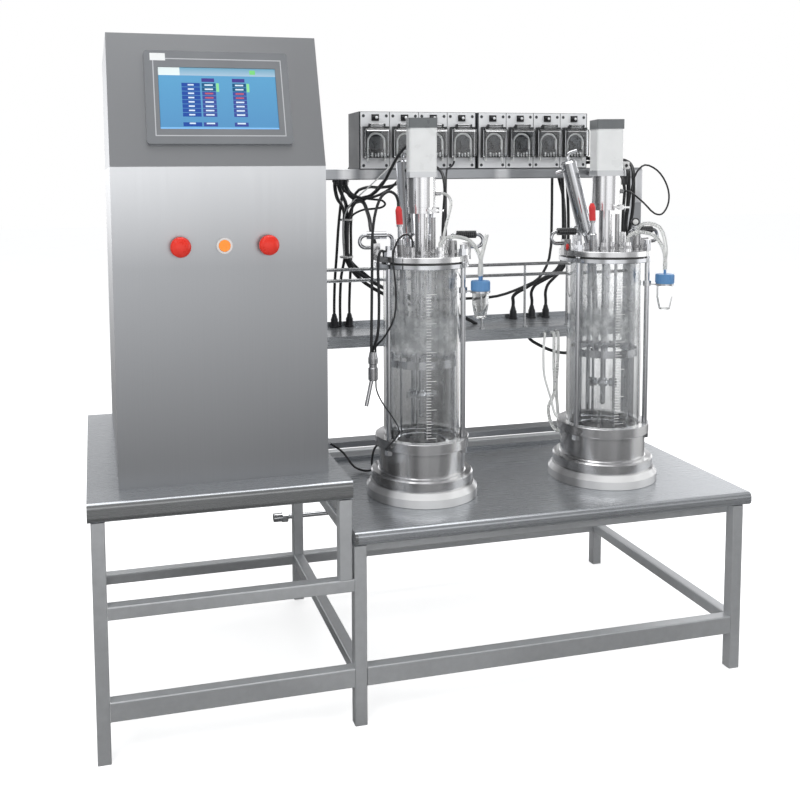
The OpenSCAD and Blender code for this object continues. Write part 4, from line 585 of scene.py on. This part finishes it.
dress(["bench_frame"], MAT["frame"])
dress(["rack_frame"], rack_material())
dress(["cabinet_bench_top", "vessel_bench_top", "instrument_shelf"], bench_material())
dress(["cabinet_shell", "cabinet_rear_panel"], cabinet_material())
dress(["control_gear"], MAT["module"])
dress(["screen_housing"], bezel_material())
dress(["screen_glass"], screen_material())
dress(["emergency_stop_left", "emergency_stop_right"], MAT["red"])
dress(["power_button"], lamp_material())
dress(["button_collars"], MAT["collar"])
dress(["shelf_railing", "water_fittings"], MAT["bright"])
dress(["cable_connectors"], MAT["connector"])
dress(["cable_harness", "sensor_leads"], MAT["rubber"])
dress(["pump_cases"], pump_case_material())
dress(["pump_heads"], MAT["head"])
dress(["pump_tubes"], MAT["hose"])
dress(["silicone_tubing"], MAT["silicone"])
dress(["pump_rotor_%d" % i for i in range(1, 9)], MAT["rotor"])
dress(["pump_cover_%d" % i for i in range(1, 9)], MAT["cover"])
dress(["stirrer_a", "stirrer_b", "baffle_cage_a", "baffle_cage_b", "tie_rods", "condensers"],
      MAT["polished"])
dress(["base_cup_a", "base_cup_b", "head_plate_a", "head_plate_b", "drive_columns"],
      turned_material("turned_steel", 0.8, 0.5))
# The rings' painted reflection bands are brighter in the middle.
dress(["locating_rings"], turned_material("ring_steel", 0.3, 1.0))
dress(["probes"], probe_material())
dress(["glass_tube_a", "glass_tube_b", "sample_bottles"], MAT["glass"])
dress(["clamp_rings"], clamp_material())
dress(["stirrer_motors"], motor_material())
dress(["grip_handles"], grip_material())
dress(["bottle_caps"], MAT["blue"])
dress(["lead_coupler"], MAT["coupler"])


# ------------------------------------------------------------------ cords
SMOOTH_STEPS = 3  # short straight runs between two points of a route
TUBE_SIDES = 4  # bevel resolution of the cords


def smooth(points, steps):
    """A centripetal Catmull-Rom line through the points."""
    p = [Vector(q) for q in points]
    p = [2 * p[0] - p[1]] + p + [2 * p[-1] - p[-2]]
    line = []
    for i in range(1, len(p) - 2):
        a, b, c, d = p[i - 1: i + 3]
        t1 = max((b - a).length, 1e-5) ** 0.5
        t2 = t1 + max((c - b).length, 1e-5) ** 0.5
        t3 = t2 + max((d - c).length, 1e-5) ** 0.5
        for k in range(steps):
            t = t1 + (t2 - t1) * k / steps
            a1 = a * (t1 - t) / t1 + b * t / t1
            a2 = b * (t2 - t) / (t2 - t1) + c * (t - t1) / (t2 - t1)
            a3 = c * (t3 - t) / (t3 - t2) + d * (t - t2) / (t3 - t2)
            b1 = a1 * (t2 - t) / t2 + a2 * t / t2
            b2 = a2 * (t3 - t) / (t3 - t1) + a3 * (t - t1) / (t3 - t1)
            line.append(b1 * (t2 - t) / (t2 - t1) + b2 * (t - t1) / (t2 - t1))
    return line + [p[-2]]


def tube(name, points, radius, material):
    """A round cord along the points, and its length in metres."""
    line = smooth(points, SMOOTH_STEPS)
    curve = bpy.data.curves.new(name, "CURVE")
    curve.dimensions = "3D"
    curve.bevel_depth = radius
    curve.bevel_resolution = TUBE_SIDES
    curve.use_fill_caps = True
    spline = curve.splines.new("POLY")
    spline.points.add(len(line) - 1)
    for q, v in zip(spline.points, line):
        q.co = (*v, 1.0)
    spline.use_smooth = True
    obj = bpy.data.objects.new(name, curve)
    bpy.context.scene.collection.objects.link(obj)
    curve.materials.append(material)
    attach(obj, "stand")
    return obj, sum((b - a).length for a, b in zip(line, line[1:]))


# The routes of the cords whose solids are in the part's source, in metres on the frame.
ROUTES = {
    "signal": [(-0.083, 0.25, 0.725), (-0.083, 0.25, 0.745), (-0.083, 0.242, 0.805), (-0.081, 0.23, 0.87),
               (-0.075, 0.224, 0.965), (-0.063, 0.222, 1.045), (-0.0432, 0.229, 1.093),
               (-0.0152, 0.251, 1.115), (0.0047, 0.241, 1.123), (0.0047, 0.217, 1.123)],
    "motor": [(-0.044, 0.25, 0.725), (-0.044, 0.25, 0.745), (-0.044, 0.242, 0.805), (-0.044, 0.23, 0.87),
              (-0.044, 0.226, 0.965), (-0.038, 0.205, 1.025), (-0.023, 0.155, 1.04), (-0.007, 0.095, 1.04),
              (0.013, 0.03, 1.05), (0.0362, -0.0316, 1.0946), (0.0267, -0.0664, 1.1146),
              (0.0215, -0.0909, 1.1146)],
    "head_a": [(0.07, -0.108, 0.9366), (0.07, -0.108, 0.9506), (0.073, -0.105, 0.9906),
               (0.077, -0.101, 1.0356), (0.083, -0.071, 1.0686), (0.091, 0.002, 1.086), (0.101, 0.062, 1.076),
               (0.103, 0.086, 1.072), (0.103, 0.102, 1.072)],
    "head_b": [(0.502, -0.108, 0.9366), (0.502, -0.108, 0.9506), (0.505, -0.105, 0.9906),
               (0.509, -0.101, 1.0356), (0.515, -0.071, 1.0686), (0.523, 0.002, 1.086), (0.533, 0.062, 1.076),
               (0.535, 0.086, 1.072), (0.535, 0.102, 1.072)],
    "probe": [(-0.0504, -0.1693, 1.004), (-0.0515, -0.1699, 1.0159), (-0.059, -0.175, 1.0286),
              (-0.073, -0.177, 1.0346), (-0.089, -0.178, 1.0246), (-0.101, -0.178, 0.9966),
              (-0.108, -0.177, 0.9506), (-0.109, -0.175, 0.8706), (-0.11, -0.174, 0.7906),
              (-0.111, -0.173, 0.7056)],
    "base_lead": [(-0.102, -0.175, 0.6456), (-0.101, -0.176, 0.6256), (-0.091, -0.181, 0.6006),
                  (-0.071, -0.193, 0.5686), (-0.061, -0.205, 0.5406), (-0.0871, -0.1935, 0.5045),
                  (-0.0769, -0.1872, 0.5045)],
    "head_lead": [(-0.103, -0.178, 0.7056), (-0.103, -0.179, 0.7166), (-0.091, -0.193, 0.7356),
                  (-0.073, -0.211, 0.7806), (-0.071, -0.215, 0.8406), (-0.077, -0.217, 0.9086),
                  (-0.065, -0.219, 0.9406), (-0.045, -0.211, 0.9486), (-0.031, -0.201, 0.9346),
                  (-0.031, -0.201, 0.9206)],
    "sensor": [(0.487, -0.131, 1.0286), (0.501, -0.131, 1.0286), (0.523, -0.113, 1.0226),
               (0.552, -0.111, 1.0016), (0.581, -0.111, 0.9766), (0.599, -0.111, 0.9746),
               (0.614, -0.111, 0.9936), (0.617, -0.111, 1.0196), (0.607, -0.111, 1.0486),
               (0.585, -0.111, 1.0746), (0.555, -0.109, 1.0866), (0.537, -0.105, 1.0706),
               (0.527, -0.097, 1.0206), (0.523, -0.091, 0.9606), (0.523, -0.091, 0.9266)],
    "feed_a": [(0.034, -0.189, 0.9186), (0.034, -0.189, 0.9266), (0.045, -0.19, 0.9376),
               (0.069, -0.191, 0.9396), (0.097, -0.195, 0.9306), (0.1154, -0.2004, 0.9026),
               (0.1194, -0.2024, 0.8746), (0.1194, -0.2024, 0.8586)],
    "riser": [(0.111, -0.2136, 0.8586), (0.111, -0.2136, 0.8746), (0.115, -0.2146, 0.9006),
              (0.121, -0.2156, 0.9246), (0.126, -0.2156, 0.9446)],
    "vent": [(0.049, -0.167, 0.9246), (0.049, -0.167, 0.9366), (0.059, -0.163, 0.9726),
             (0.071, -0.153, 1.0046), (0.073, -0.137, 1.0206), (0.063, -0.131, 1.0286),
             (0.055, -0.131, 1.0286)],
    "feed_b": [(0.466, -0.189, 0.9186), (0.466, -0.189, 0.9266), (0.477, -0.19, 0.9376),
               (0.501, -0.191, 0.9396), (0.529, -0.195, 0.9306), (0.5474, -0.2004, 0.9026),
               (0.5514, -0.2024, 0.8746), (0.5514, -0.2024, 0.8586)],
    "return_b": [(0.501, -0.169, 0.9306), (0.501, -0.169, 0.9426), (0.513, -0.177, 0.9576),
                 (0.537, -0.199, 0.9506), (0.545, -0.2136, 0.9086), (0.543, -0.2136, 0.8746),
                 (0.543, -0.2136, 0.8586)],
    "water": [(0.435, 0.103, 0.677), (0.435, 0.089, 0.677), (0.429, 0.075, 0.655), (0.419, 0.055, 0.6),
              (0.407, 0.029, 0.54), (0.3811, 0.0076, 0.513), (0.3803, -0.009, 0.479), (0.384, -0.0253, 0.467),
              (0.391, -0.0375, 0.467)],
}
# Those cords: radius in mm, material, far end, stiffness, CAD node.
CORDS = {
    "signal": (3.5, "rubber", "object", "medium", "cable_harness"),
    "motor": (3.5, "rubber", "object", "medium", "cable_harness"),
    "head_a": (3.5, "rubber", "object", "medium", "cable_harness"),
    "head_b": (3.5, "rubber", "object", "medium", "cable_harness"),
    "probe": (3, "rubber", "connector", "medium", "sensor_leads"),
    "base_lead": (1.5, "rubber", "object", "limp", "sensor_leads"),
    "head_lead": (2, "rubber", "object", "limp", "sensor_leads"),
    "sensor": (2, "rubber", "object", "limp", "sensor_leads"),
    "feed_a": (4, "silicone", "object", "limp", "silicone_tubing"),
    "riser": (4, "silicone", "bare", "stiff", "silicone_tubing"),
    "vent": (3, "silicone", "object", "limp", "silicone_tubing"),
    "feed_b": (4, "silicone", "object", "limp", "silicone_tubing"),
    "return_b": (4, "silicone", "object", "limp", "silicone_tubing"),
    "water": (4, "silicone", "object", "limp", "silicone_tubing"),
}


# The cables that only the scene has: radius in mm, material, stiffness, points in mm as in at().
LEADS = {
    "strand": (3.5, "rubber", "medium", [
        (685, 235, 1132), (683, 258, 1130), (676, 290, 1112), (673, 330, 1086), (668, 380, 1050),
        (656, 430, 1023), (637, 470, 1013), (630, 520, 987), (633, 560, 954), (633, 566, 904),
        (635, 564, 867), (649, 560, 847), (672, 554, 827), (722, 550, 789), (829, 548, 758),
        (946, 548, 755), (1024, 548, 758), (1092, 548, 778), (1140, 550, 800), (1172, 556, 850),
        (1180, 560, 960), (1178, 556, 1060), (1176, 548, 1110), (1176, 540, 1116)]),
    "under": (3.5, "rubber", "medium", [
        (728, 500, 1083), (724, 499, 1070), (700, 486, 1052), (676, 472, 1030), (650, 482, 1010),
        (630, 512, 1000), (621, 545, 980), (622, 562, 950), (623, 566, 904), (625, 568, 866),
        (619, 578, 820), (617, 584, 760), (618, 588, 710), (618, 588, 691)]),
    "trunk_1": (4.5, "rubber", "medium", [
        (584, 462, 1058), (585, 464, 1044), (600, 486, 1020), (618, 524, 1000), (627, 552, 976),
        (628, 556, 945), (628, 556, 904), (631, 554, 868), (646, 548, 838), (690, 542, 806),
        (760, 538, 770), (850, 534, 734), (930, 532, 708), (960, 531, 691)]),
    "trunk_2": (4.5, "rubber", "medium", [
        (578, 470, 1058), (578, 473, 1044), (590, 500, 1016), (612, 544, 998), (626, 570, 976),
        (629, 575, 945), (629, 576, 904), (630, 577, 868), (644, 572, 836), (680, 568, 800),
        (750, 566, 760), (830, 566, 724), (880, 566, 700), (894, 566, 691)]),
    "down": (4.5, "rubber", "medium", [
        (600, 458, 1058), (602, 461, 1042), (614, 474, 1022), (628, 470, 1012), (636, 452, 1008),
        (637, 432, 1004), (633, 390, 985), (621, 330, 969), (613, 294, 952), (614, 270, 924),
        (620, 258, 901)]),
    "cross": (3, "rubber", "limp", [
        (590, 458, 1058), (589, 458, 1046), (596, 450, 1032), (612, 446, 1023), (634, 436, 1016),
        (652, 400, 1019), (672, 330, 1041), (686, 290, 1070), (690, 250, 1092), (690, 235, 1100)]),
    "loop": (2.5, "rubber", "limp", [
        (605, 470, 1058), (606, 471, 1046), (620, 478, 1026), (640, 464, 1016), (664, 450, 1012),
        (684, 440, 1009), (690, 436, 1001), (684, 440, 994), (666, 450, 990), (648, 466, 988),
        (638, 500, 980), (639, 550, 968), (639, 558, 960.5)]),
    "thin": (1.6, "hose", "limp", [
        (718, 435.5, 1106), (716, 435.5, 1098), (702, 436, 1088), (679, 436, 1067), (648, 442, 1038),
        (630, 452, 1020), (622, 480, 1006), (620.5, 538, 977), (620.5, 555, 955), (620.5, 555, 869)]),
    "link_a": (4.5, "rubber", "medium", [
        (1085, 585, 725), (1085, 585, 738), (1081, 578, 750), (1086, 566, 762), (1104, 562, 772),
        (1129, 562, 785), (1163, 564, 799), (1195, 564, 816), (1213, 564, 845), (1216, 564, 900),
        (1212, 560, 1000), (1204, 554, 1086), (1200, 546, 1112), (1200, 540, 1116)]),
    "link_b": (4, "rubber", "medium", [
        (1138, 585, 725), (1138, 584, 738), (1132, 576, 760), (1140, 573, 778), (1163, 574, 790),
        (1195, 574, 806), (1222, 574, 836), (1226, 574, 900), (1220, 572, 1000), (1200, 566, 1066),
        (1188, 550, 1092), (1188, 540, 1094)]),
    "link_c": (4, "rubber", "medium", [
        (1178, 585, 725), (1178, 585, 738), (1176, 583, 758), (1182, 582, 778), (1200, 582, 796),
        (1228, 582, 824), (1238, 582, 870), (1238, 580, 960), (1230, 576, 1060), (1216, 560, 1120),
        (1208, 546, 1138), (1206, 540, 1140)]),
    "guard_a": (2.2, "rubber", "limp", [
        (861, 435.5, 1106), (861, 435.5, 1098), (848, 418, 1088), (824, 380, 1082), (802, 330, 1074),
        (775, 262, 1041), (766, 238, 998), (763, 230, 949), (763, 230, 920), (763, 230, 901)]),
    "side_a": (3, "rubber", "medium", [
        (606, 173, 901), (604, 171, 911), (595, 164, 912), (589, 160, 892), (590, 158, 811),
        (587, 159, 740), (580, 166, 712), (579, 168, 706)]),
    "bundle_1": (4.5, "rubber", "medium", [
        (1196, 240, 901), (1198, 241, 930), (1206, 245, 967), (1213, 250, 994), (1221, 262, 1047),
        (1228, 276, 1074), (1236, 306, 1092), (1240, 360, 1100), (1236, 430, 1104), (1226, 466, 1107),
        (1214, 475, 1108)]),
    "bundle_2": (4, "rubber", "medium", [
        (1206, 236, 901), (1209, 237, 930), (1217, 240, 967), (1224, 246, 994), (1231, 257, 1047),
        (1238, 272, 1076), (1247, 306, 1094), (1252, 370, 1102), (1244, 450, 1098), (1228, 490, 1096),
        (1214, 497, 1096)]),
    "jacket_1": (4, "silicone", "limp", [
        (1138, 446, 677), (1137, 437, 676), (1133, 425, 655), (1124, 410, 600), (1112, 392, 545),
        (1100, 358, 492), (1092, 336, 458), (1092.8, 322.3, 449), (1096.4, 310.8, 449)]),
    "jacket_2": (3, "hose", "limp", [
        (1104, 446, 675), (1103, 438, 674), (1096, 428, 655), (1082, 402, 620), (1077, 386, 580),
        (1077, 350, 531), (1074, 322, 500), (1078, 302, 495), (1086.2, 284.3, 492)]),
    "shelf_low": (4, "rubber", "medium", [
        (1081, 500, 688), (1080, 498, 676), (1084, 480, 654), (1104, 468, 640), (1129, 460, 628),
        (1165, 458, 619), (1230, 462, 622), (1300, 460, 636), (1334, 457.5, 640), (1345, 457.5, 640)]),
    "floor_1": (2.5, "rubber", "limp", [
        (556, 445, 436), (562, 428, 434), (576, 404, 424), (596, 380, 396), (618, 360, 391),
        (628, 350, 396), (626, 340, 420), (629, 327, 452), (636, 311.4, 466), (644.2, 297.2, 467)]),
}


def make_leads():
    """The cables that only the scene has."""
    for name, (radius, material, stiffness, points) in LEADS.items():
        obj, length = tube("lead_" + name, [at(*q) for q in points], radius / 1000, MAT[material])


def make_cords():
    """The cords that stand in for the source's faceted ones."""
    for name, (radius, material, end, stiffness, node) in CORDS.items():
        obj, length = tube("cord_" + name, ROUTES[name], radius / 1000, MAT[material])
        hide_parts(node)


make_cords()
make_leads()


# ------------------------------------------------------------------ small fittings
class Piece:
    """Turned and boxed shapes gathered in one mesh."""

    def __init__(self, name, material):
        self.name, self.material = name, material
        self.bm = bmesh.new()

    def turned(self, foot, axis, profile, sides=28):
        """A turned shape; profile holds (distance along the axis, radius) pairs in mm."""
        turn = Vector(axis).to_track_quat("Z", "Y")
        angles = [2 * math.pi * k / sides for k in range(sides)]
        rings = [[self.bm.verts.new(foot + turn @ (Vector((r * math.cos(a), r * math.sin(a), h)) / 1000))
                  for a in angles] for h, r in profile]
        for a, b in zip(rings, rings[1:]):
            for k in range(sides):
                j = (k + 1) % sides
                self.bm.faces.new((a[k], a[j], b[j], b[k]))
        self.bm.faces.new(rings[0][::-1])
        self.bm.faces.new(rings[-1])
        return self

    def block(self, centre, size, edge):
        """A box of the size in mm with rounded edges."""
        m = Matrix.Translation(centre) @ Matrix.Diagonal((*(v / 1000 for v in size), 1))
        made = bmesh.ops.create_cube(self.bm, size=1, matrix=m)["verts"]
        edges = list({e for v in made for e in v.link_edges})
        bmesh.ops.bevel(self.bm, geom=edges, offset=edge / 1000, segments=2, affect="EDGES", profile=0.5)
        return self

    def patch(self, grid):
        """A thin curved strip through rows of points."""
        rows = [[self.bm.verts.new(q) for q in row] for row in grid]
        for a, b in zip(rows, rows[1:]):
            for k in range(len(a) - 1):
                self.bm.faces.new((a[k], a[k + 1], b[k + 1], b[k]))
        return self

    def done(self):
        """Make the object and fix it to the stand."""
        mesh = bpy.data.meshes.new(self.name)
        self.bm.to_mesh(mesh)
        self.bm.free()
        mesh.shade_smooth()
        mesh.set_sharp_from_angle(angle=math.radians(40))
        mesh.materials.append(self.material)
        obj = bpy.data.objects.new(self.name, mesh)
        bpy.context.scene.collection.objects.link(obj)
        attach(obj, "stand")


FILM_R, FILM_LOW, FILM_HIGH = 75.4, 128, 491
SCALE_R, SCALE_TOP, SCALE_STEP, SCALE_MARKS = 81.25, 437, 6, 51
SCALE_EDGE = -102  # degrees round the axis where each mark begins
MARK_HALF = 0.55  # half a mark's height


def ring_row(i, r, z, angles):
    """Points of vessel i on a circle of radius r at height z."""
    return [ves(i, r * math.cos(a), r * math.sin(a), z) for a in angles]


def make_glass_work():
    """The film inside each glass tube and the plain scale on its outside."""
    around = [2 * math.pi * k / 72 for k in range(73)]
    heights = [FILM_LOW + (FILM_HIGH - FILM_LOW) * k / 24 for k in range(25)]
    for i, side in enumerate("ab"):
        film = Piece("glass_film_" + side, film_material())
        film.patch([ring_row(i, FILM_R, z, around) for z in heights]).done()
        marks = Piece("glass_scale_" + side, MAT["white"])
        for k in range(SCALE_MARKS):
            z = SCALE_TOP - SCALE_STEP * k
            wide = 15 if k % 10 == 0 else (10 if k % 5 == 0 else 7)
            arc = [math.radians(SCALE_EDGE + wide * j / 4) for j in range(5)]
            marks.patch([ring_row(i, SCALE_R, h, arc) for h in (z - MARK_HALF, z + MARK_HALF)])
        marks.done()


def make_pump_fronts():
    """Four pale tube clips at the foot of each pump's window."""
    for i in range(8):
        clips = Piece("tube_clips_%d" % (i + 1), MAT["white"])
        for dx, wide, tall in ((-12, 3.5, 10), (-4, 2.5, 7), (3, 2.5, 9), (11, 4, 10)):
            centre = at(pump_x(i) + dx, PUMP_FRONT - 1.8, PUMP_Z - 34 + tall / 2)
            clips.block(centre, (wide, 3.6, tall), 0.5)
        clips.done()


UP, DOWN, FRONT, BACK = (0, 0, 1), (0, 0, -1), (0, -1, 0), (0, 1, 0)
LAMP_X, LAMP_Y = 1211, 262  # the small lamp on its stem, on the second head plate
KNOB, KNOB_FACES = at(1202, 202, 960), (-0.33, -0.94, 0)
BEAM_GLANDS = ((600, 458), (590, 458), (605, 470), (584, 462), (578, 470))
CASE_GLANDS = ((1176, 1116), (1200, 1116), (1188, 1094), (1206, 1140))


def make_fittings():
    """Small trim on the stand: ports, stems, glands, ties, a plate and a cap."""
    port = Piece("jacket_ports", MAT["bright"])
    nut = [(0, 5), (4, 5), (4.4, 7), (10, 7), (10.4, 4.3), (21, 4.1)]
    port.turned(at(1102.7, 290.8, 449), (-0.3, 0.954, 0), nut)
    port.turned(at(1138, 447, 677), FRONT, [(0, 7), (3, 7), (3.4, 4.6), (9, 4.4)], 6)
    port.turned(at(1104, 447, 675), FRONT, [(0, 6), (3, 6), (3.4, 3.6), (8, 3.4)], 6)
    port.done()
    stem = Piece("lamp_stems", MAT["bright"])
    stem.turned(at(LAMP_X, LAMP_Y, PLATE_TOP), UP, [(0, 5), (6, 5), (6.4, 2.6), (178, 2.6)])
    stem.turned(at(1202, 198, PLATE_TOP), UP, [(0, 5), (8, 5), (8.4, 3), (52, 3)])
    stem.done()
    Piece("lamp_box", MAT["white"]).block(at(LAMP_X, LAMP_Y, 1086), (17, 13, 18), 1.5).done()
    dark = Piece("black_fittings", MAT["connector"])
    dark.turned(at(LAMP_X, 255.4, 1086), FRONT, [(0, 3.6), (0.8, 3.6), (1.0, 3.2)])
    dark.block(at(LAMP_X, LAMP_Y, 1052), (12, 12, 20), 1.5)
    dark.turned(KNOB, KNOB_FACES, [(0, 7), (1, 9), (9, 9), (10, 8)])
    feet = [at(728, 500, CASE_UNDER)] + [at(x, y, BEAM_UNDER) for x, y in BEAM_GLANDS]
    for foot in feet:
        dark.turned(foot, DOWN, [(0, 7), (5, 7), (5.4, 5.4), (12, 4.6)], 6)
    for x, z in CASE_GLANDS:
        dark.turned(at(x, CASE_BACK, z), BACK, [(0, 7.5), (5, 7.5), (5.4, 5.8), (10, 5)], 6)
    dark.done()
    face = Piece("knob_face", MAT["white"])
    face.turned(KNOB + Vector(KNOB_FACES) * 0.0098, KNOB_FACES, [(0, 6), (0.8, 6), (1.1, 5.4)])
    face.done()
    ties = Piece("cable_ties", MAT["white"])
    for z in (958, 866):
        ties.turned(at(BUNDLE_X, BUNDLE_Y, z), UP, [(0, 16.2), (0.6, 17), (4.4, 17), (5, 16.2)])
    ties.done()
    Piece("upright_plate", MAT["fascia"]).block(at(1356.5, 443.4, 1036), (25, 2.6, 82), 0.8).done()
    caps = Piece("small_red_caps", MAT["red_cap"])
    caps.turned(at(1034, 200, 901), UP, [(0, 4), (2, 5.5), (12, 5.5), (14, 4)])
    caps.done()


make_glass_work()
make_pump_fronts()
make_fittings()


# ------------------------------------------------------------------ stage and light
def gloss_turn(n, x, y):
    """What shiny surfaces see round the stage: 0 and 1 are the camera's side, 0.25 left, 0.5 behind."""
    greys = [(0.0, 1.0), (0.02, 1.2), (0.055, 1.2), (0.085, 0.45), (0.13, 0.75), (0.18, 0.8), (0.23, 0.18),
             (0.29, 0.22), (0.36, 0.95), (0.5, 1.0), (0.545, 0.75), (0.57, 0.2), (0.6, 2.0), (0.7, 1.0),
             (0.76, 1.25), (0.82, 1.2), (0.86, 0.35), (0.91, 0.35), (0.95, 0.9), (1.0, 1.0)]
    turn = n.span(n.math("ARCTAN2", x, y), -math.pi, math.pi)
    return n.ramp(turn, [(place, (g, g, g * 1.01, 1)) for place, g in greys])


FLOOR_SIZE, FLOOR_GLOW = 40, 0.66


def make_floor():
    """White to the camera; shiny surfaces see it brighter with distance and by direction."""
    bpy.ops.mesh.primitive_plane_add(size=FLOOR_SIZE, location=(0, 0, 0))
    floor = bpy.context.object
    floor.name = "floor"
    n = Nodes("floor_white")
    t = n.tree
    x, y = n.xyz("XY")
    diffuse = t.nodes.new("ShaderNodeBsdfDiffuse")
    white = n.blend(n.span(n.noise(1.5, 2.0), 0.3, 0.7), (0.8, 0.8, 0.8), (0.82, 0.82, 0.82))
    n.link(white, diffuse.inputs["Color"])
    path = t.nodes.new("ShaderNodeLightPath")
    seen = n.math("MAXIMUM", path.outputs["Is Camera Ray"], path.outputs["Is Transmission Ray"])
    glow = t.nodes.new("ShaderNodeEmission")
    n.link(n.math("MULTIPLY", seen, FLOOR_GLOW), glow.inputs["Strength"])
    add = t.nodes.new("ShaderNodeAddShader")
    n.link(diffuse.outputs[0], add.inputs[0])
    n.link(glow.outputs[0], add.inputs[1])
    away = n.math("SQRT", n.math("ADD", n.math("MULTIPLY", x, x), n.math("MULTIPLY", y, y)))
    decades = n.math("LOGARITHM", n.math("MAXIMUM", away, 0.1), 10.0)
    far = n.math("POWER", n.span(decades, 0.0, 1.3), 1.7)
    shiny = t.nodes.new("ShaderNodeEmission")
    n.link(gloss_turn(n, x, y), shiny.inputs["Color"])
    n.link(n.math("ADD", 0.15, n.math("MULTIPLY", far, 1.5)), shiny.inputs["Strength"])
    mix = t.nodes.new("ShaderNodeMixShader")
    n.link(path.outputs["Is Glossy Ray"], mix.inputs[0])
    n.link(add.outputs[0], mix.inputs[1])
    n.link(shiny.outputs[0], mix.inputs[2])
    n.link(mix.outputs[0], n.out.inputs[0])
    floor.data.materials.append(n.mat)


class Sky(Nodes):
    """The same helper for the world."""

    def __init__(self):
        self.world = bpy.data.worlds.new("studio")
        bpy.context.scene.world = self.world
        self.world.use_nodes = True
        self.tree = self.world.node_tree
        self.tree.nodes.clear()
        self.out = self.tree.nodes.new("ShaderNodeOutputWorld")
        self.co = self.tree.nodes.new("ShaderNodeTexCoord").outputs["Generated"]

    def background(self, colour, strength):
        b = self.tree.nodes.new("ShaderNodeBackground")
        self.put(b.inputs["Strength"], strength)
        self.put(b.inputs["Color"], colour)
        return b.outputs[0]

    def mixed(self, fac, a, b):
        m = self.tree.nodes.new("ShaderNodeMixShader")
        for s, v in zip(m.inputs, (fac, a, b)):
            self.link(v, s)
        return m.outputs[0]


def make_world():
    """White to the camera, pale light on the object, light and dark fields in shiny surfaces."""
    w = Sky()
    x, y, z = w.xyz("XYZ")
    low = w.span(z, 0.06, 0.33, 2.0, 0.0)
    high = w.span(z, 0.85, 0.95)
    rise = w.math("ADD", 0.36, w.math("MULTIPLY", w.math("ADD", low, high), 0.64))
    path = w.tree.nodes.new("ShaderNodeLightPath")
    base = w.background((0.97, 0.985, 1.0), 0.42)
    shiny = w.background(gloss_turn(w, x, y), rise)
    white = w.background((1.0, 1.0, 1.0), 1.0)
    total = w.mixed(path.outputs["Is Glossy Ray"], base, shiny)
    total = w.mixed(path.outputs["Is Transmission Ray"], total, white)
    total = w.mixed(path.outputs["Is Camera Ray"], total, white)
    w.link(total, w.out.inputs[0])


def lamp(name, place, aim, size, power, glossy):
    """A square lamp; glossy says whether shiny surfaces mirror it."""
    data = bpy.data.lights.new(name, "AREA")
    data.energy = power
    data.size = size
    obj = bpy.data.objects.new(name, data)
    bpy.context.scene.collection.objects.link(obj)
    obj.location = place
    obj.rotation_euler = (Vector(aim) - Vector(place)).to_track_quat("-Z", "Y").to_euler()
    obj.visible_glossy = glossy


make_floor()
make_world()
lamp("key", (-2.2, -2.2, 3.2), (0, 0, 0.7), 2.2, 72, False)
lamp("fill", (2.8, -1.8, 2.0), (0.1, 0, 0.7), 2.0, 32, False)
lamp("top", (0.0, 0.3, 3.4), (0, 0, 0.4), 2.6, 45, True)
lamp("rear", (0.6, 2.8, 2.4), (0, 0, 0.8), 1.8, 22, False)
bpy.context.scene.view_settings.view_transform = "Standard"
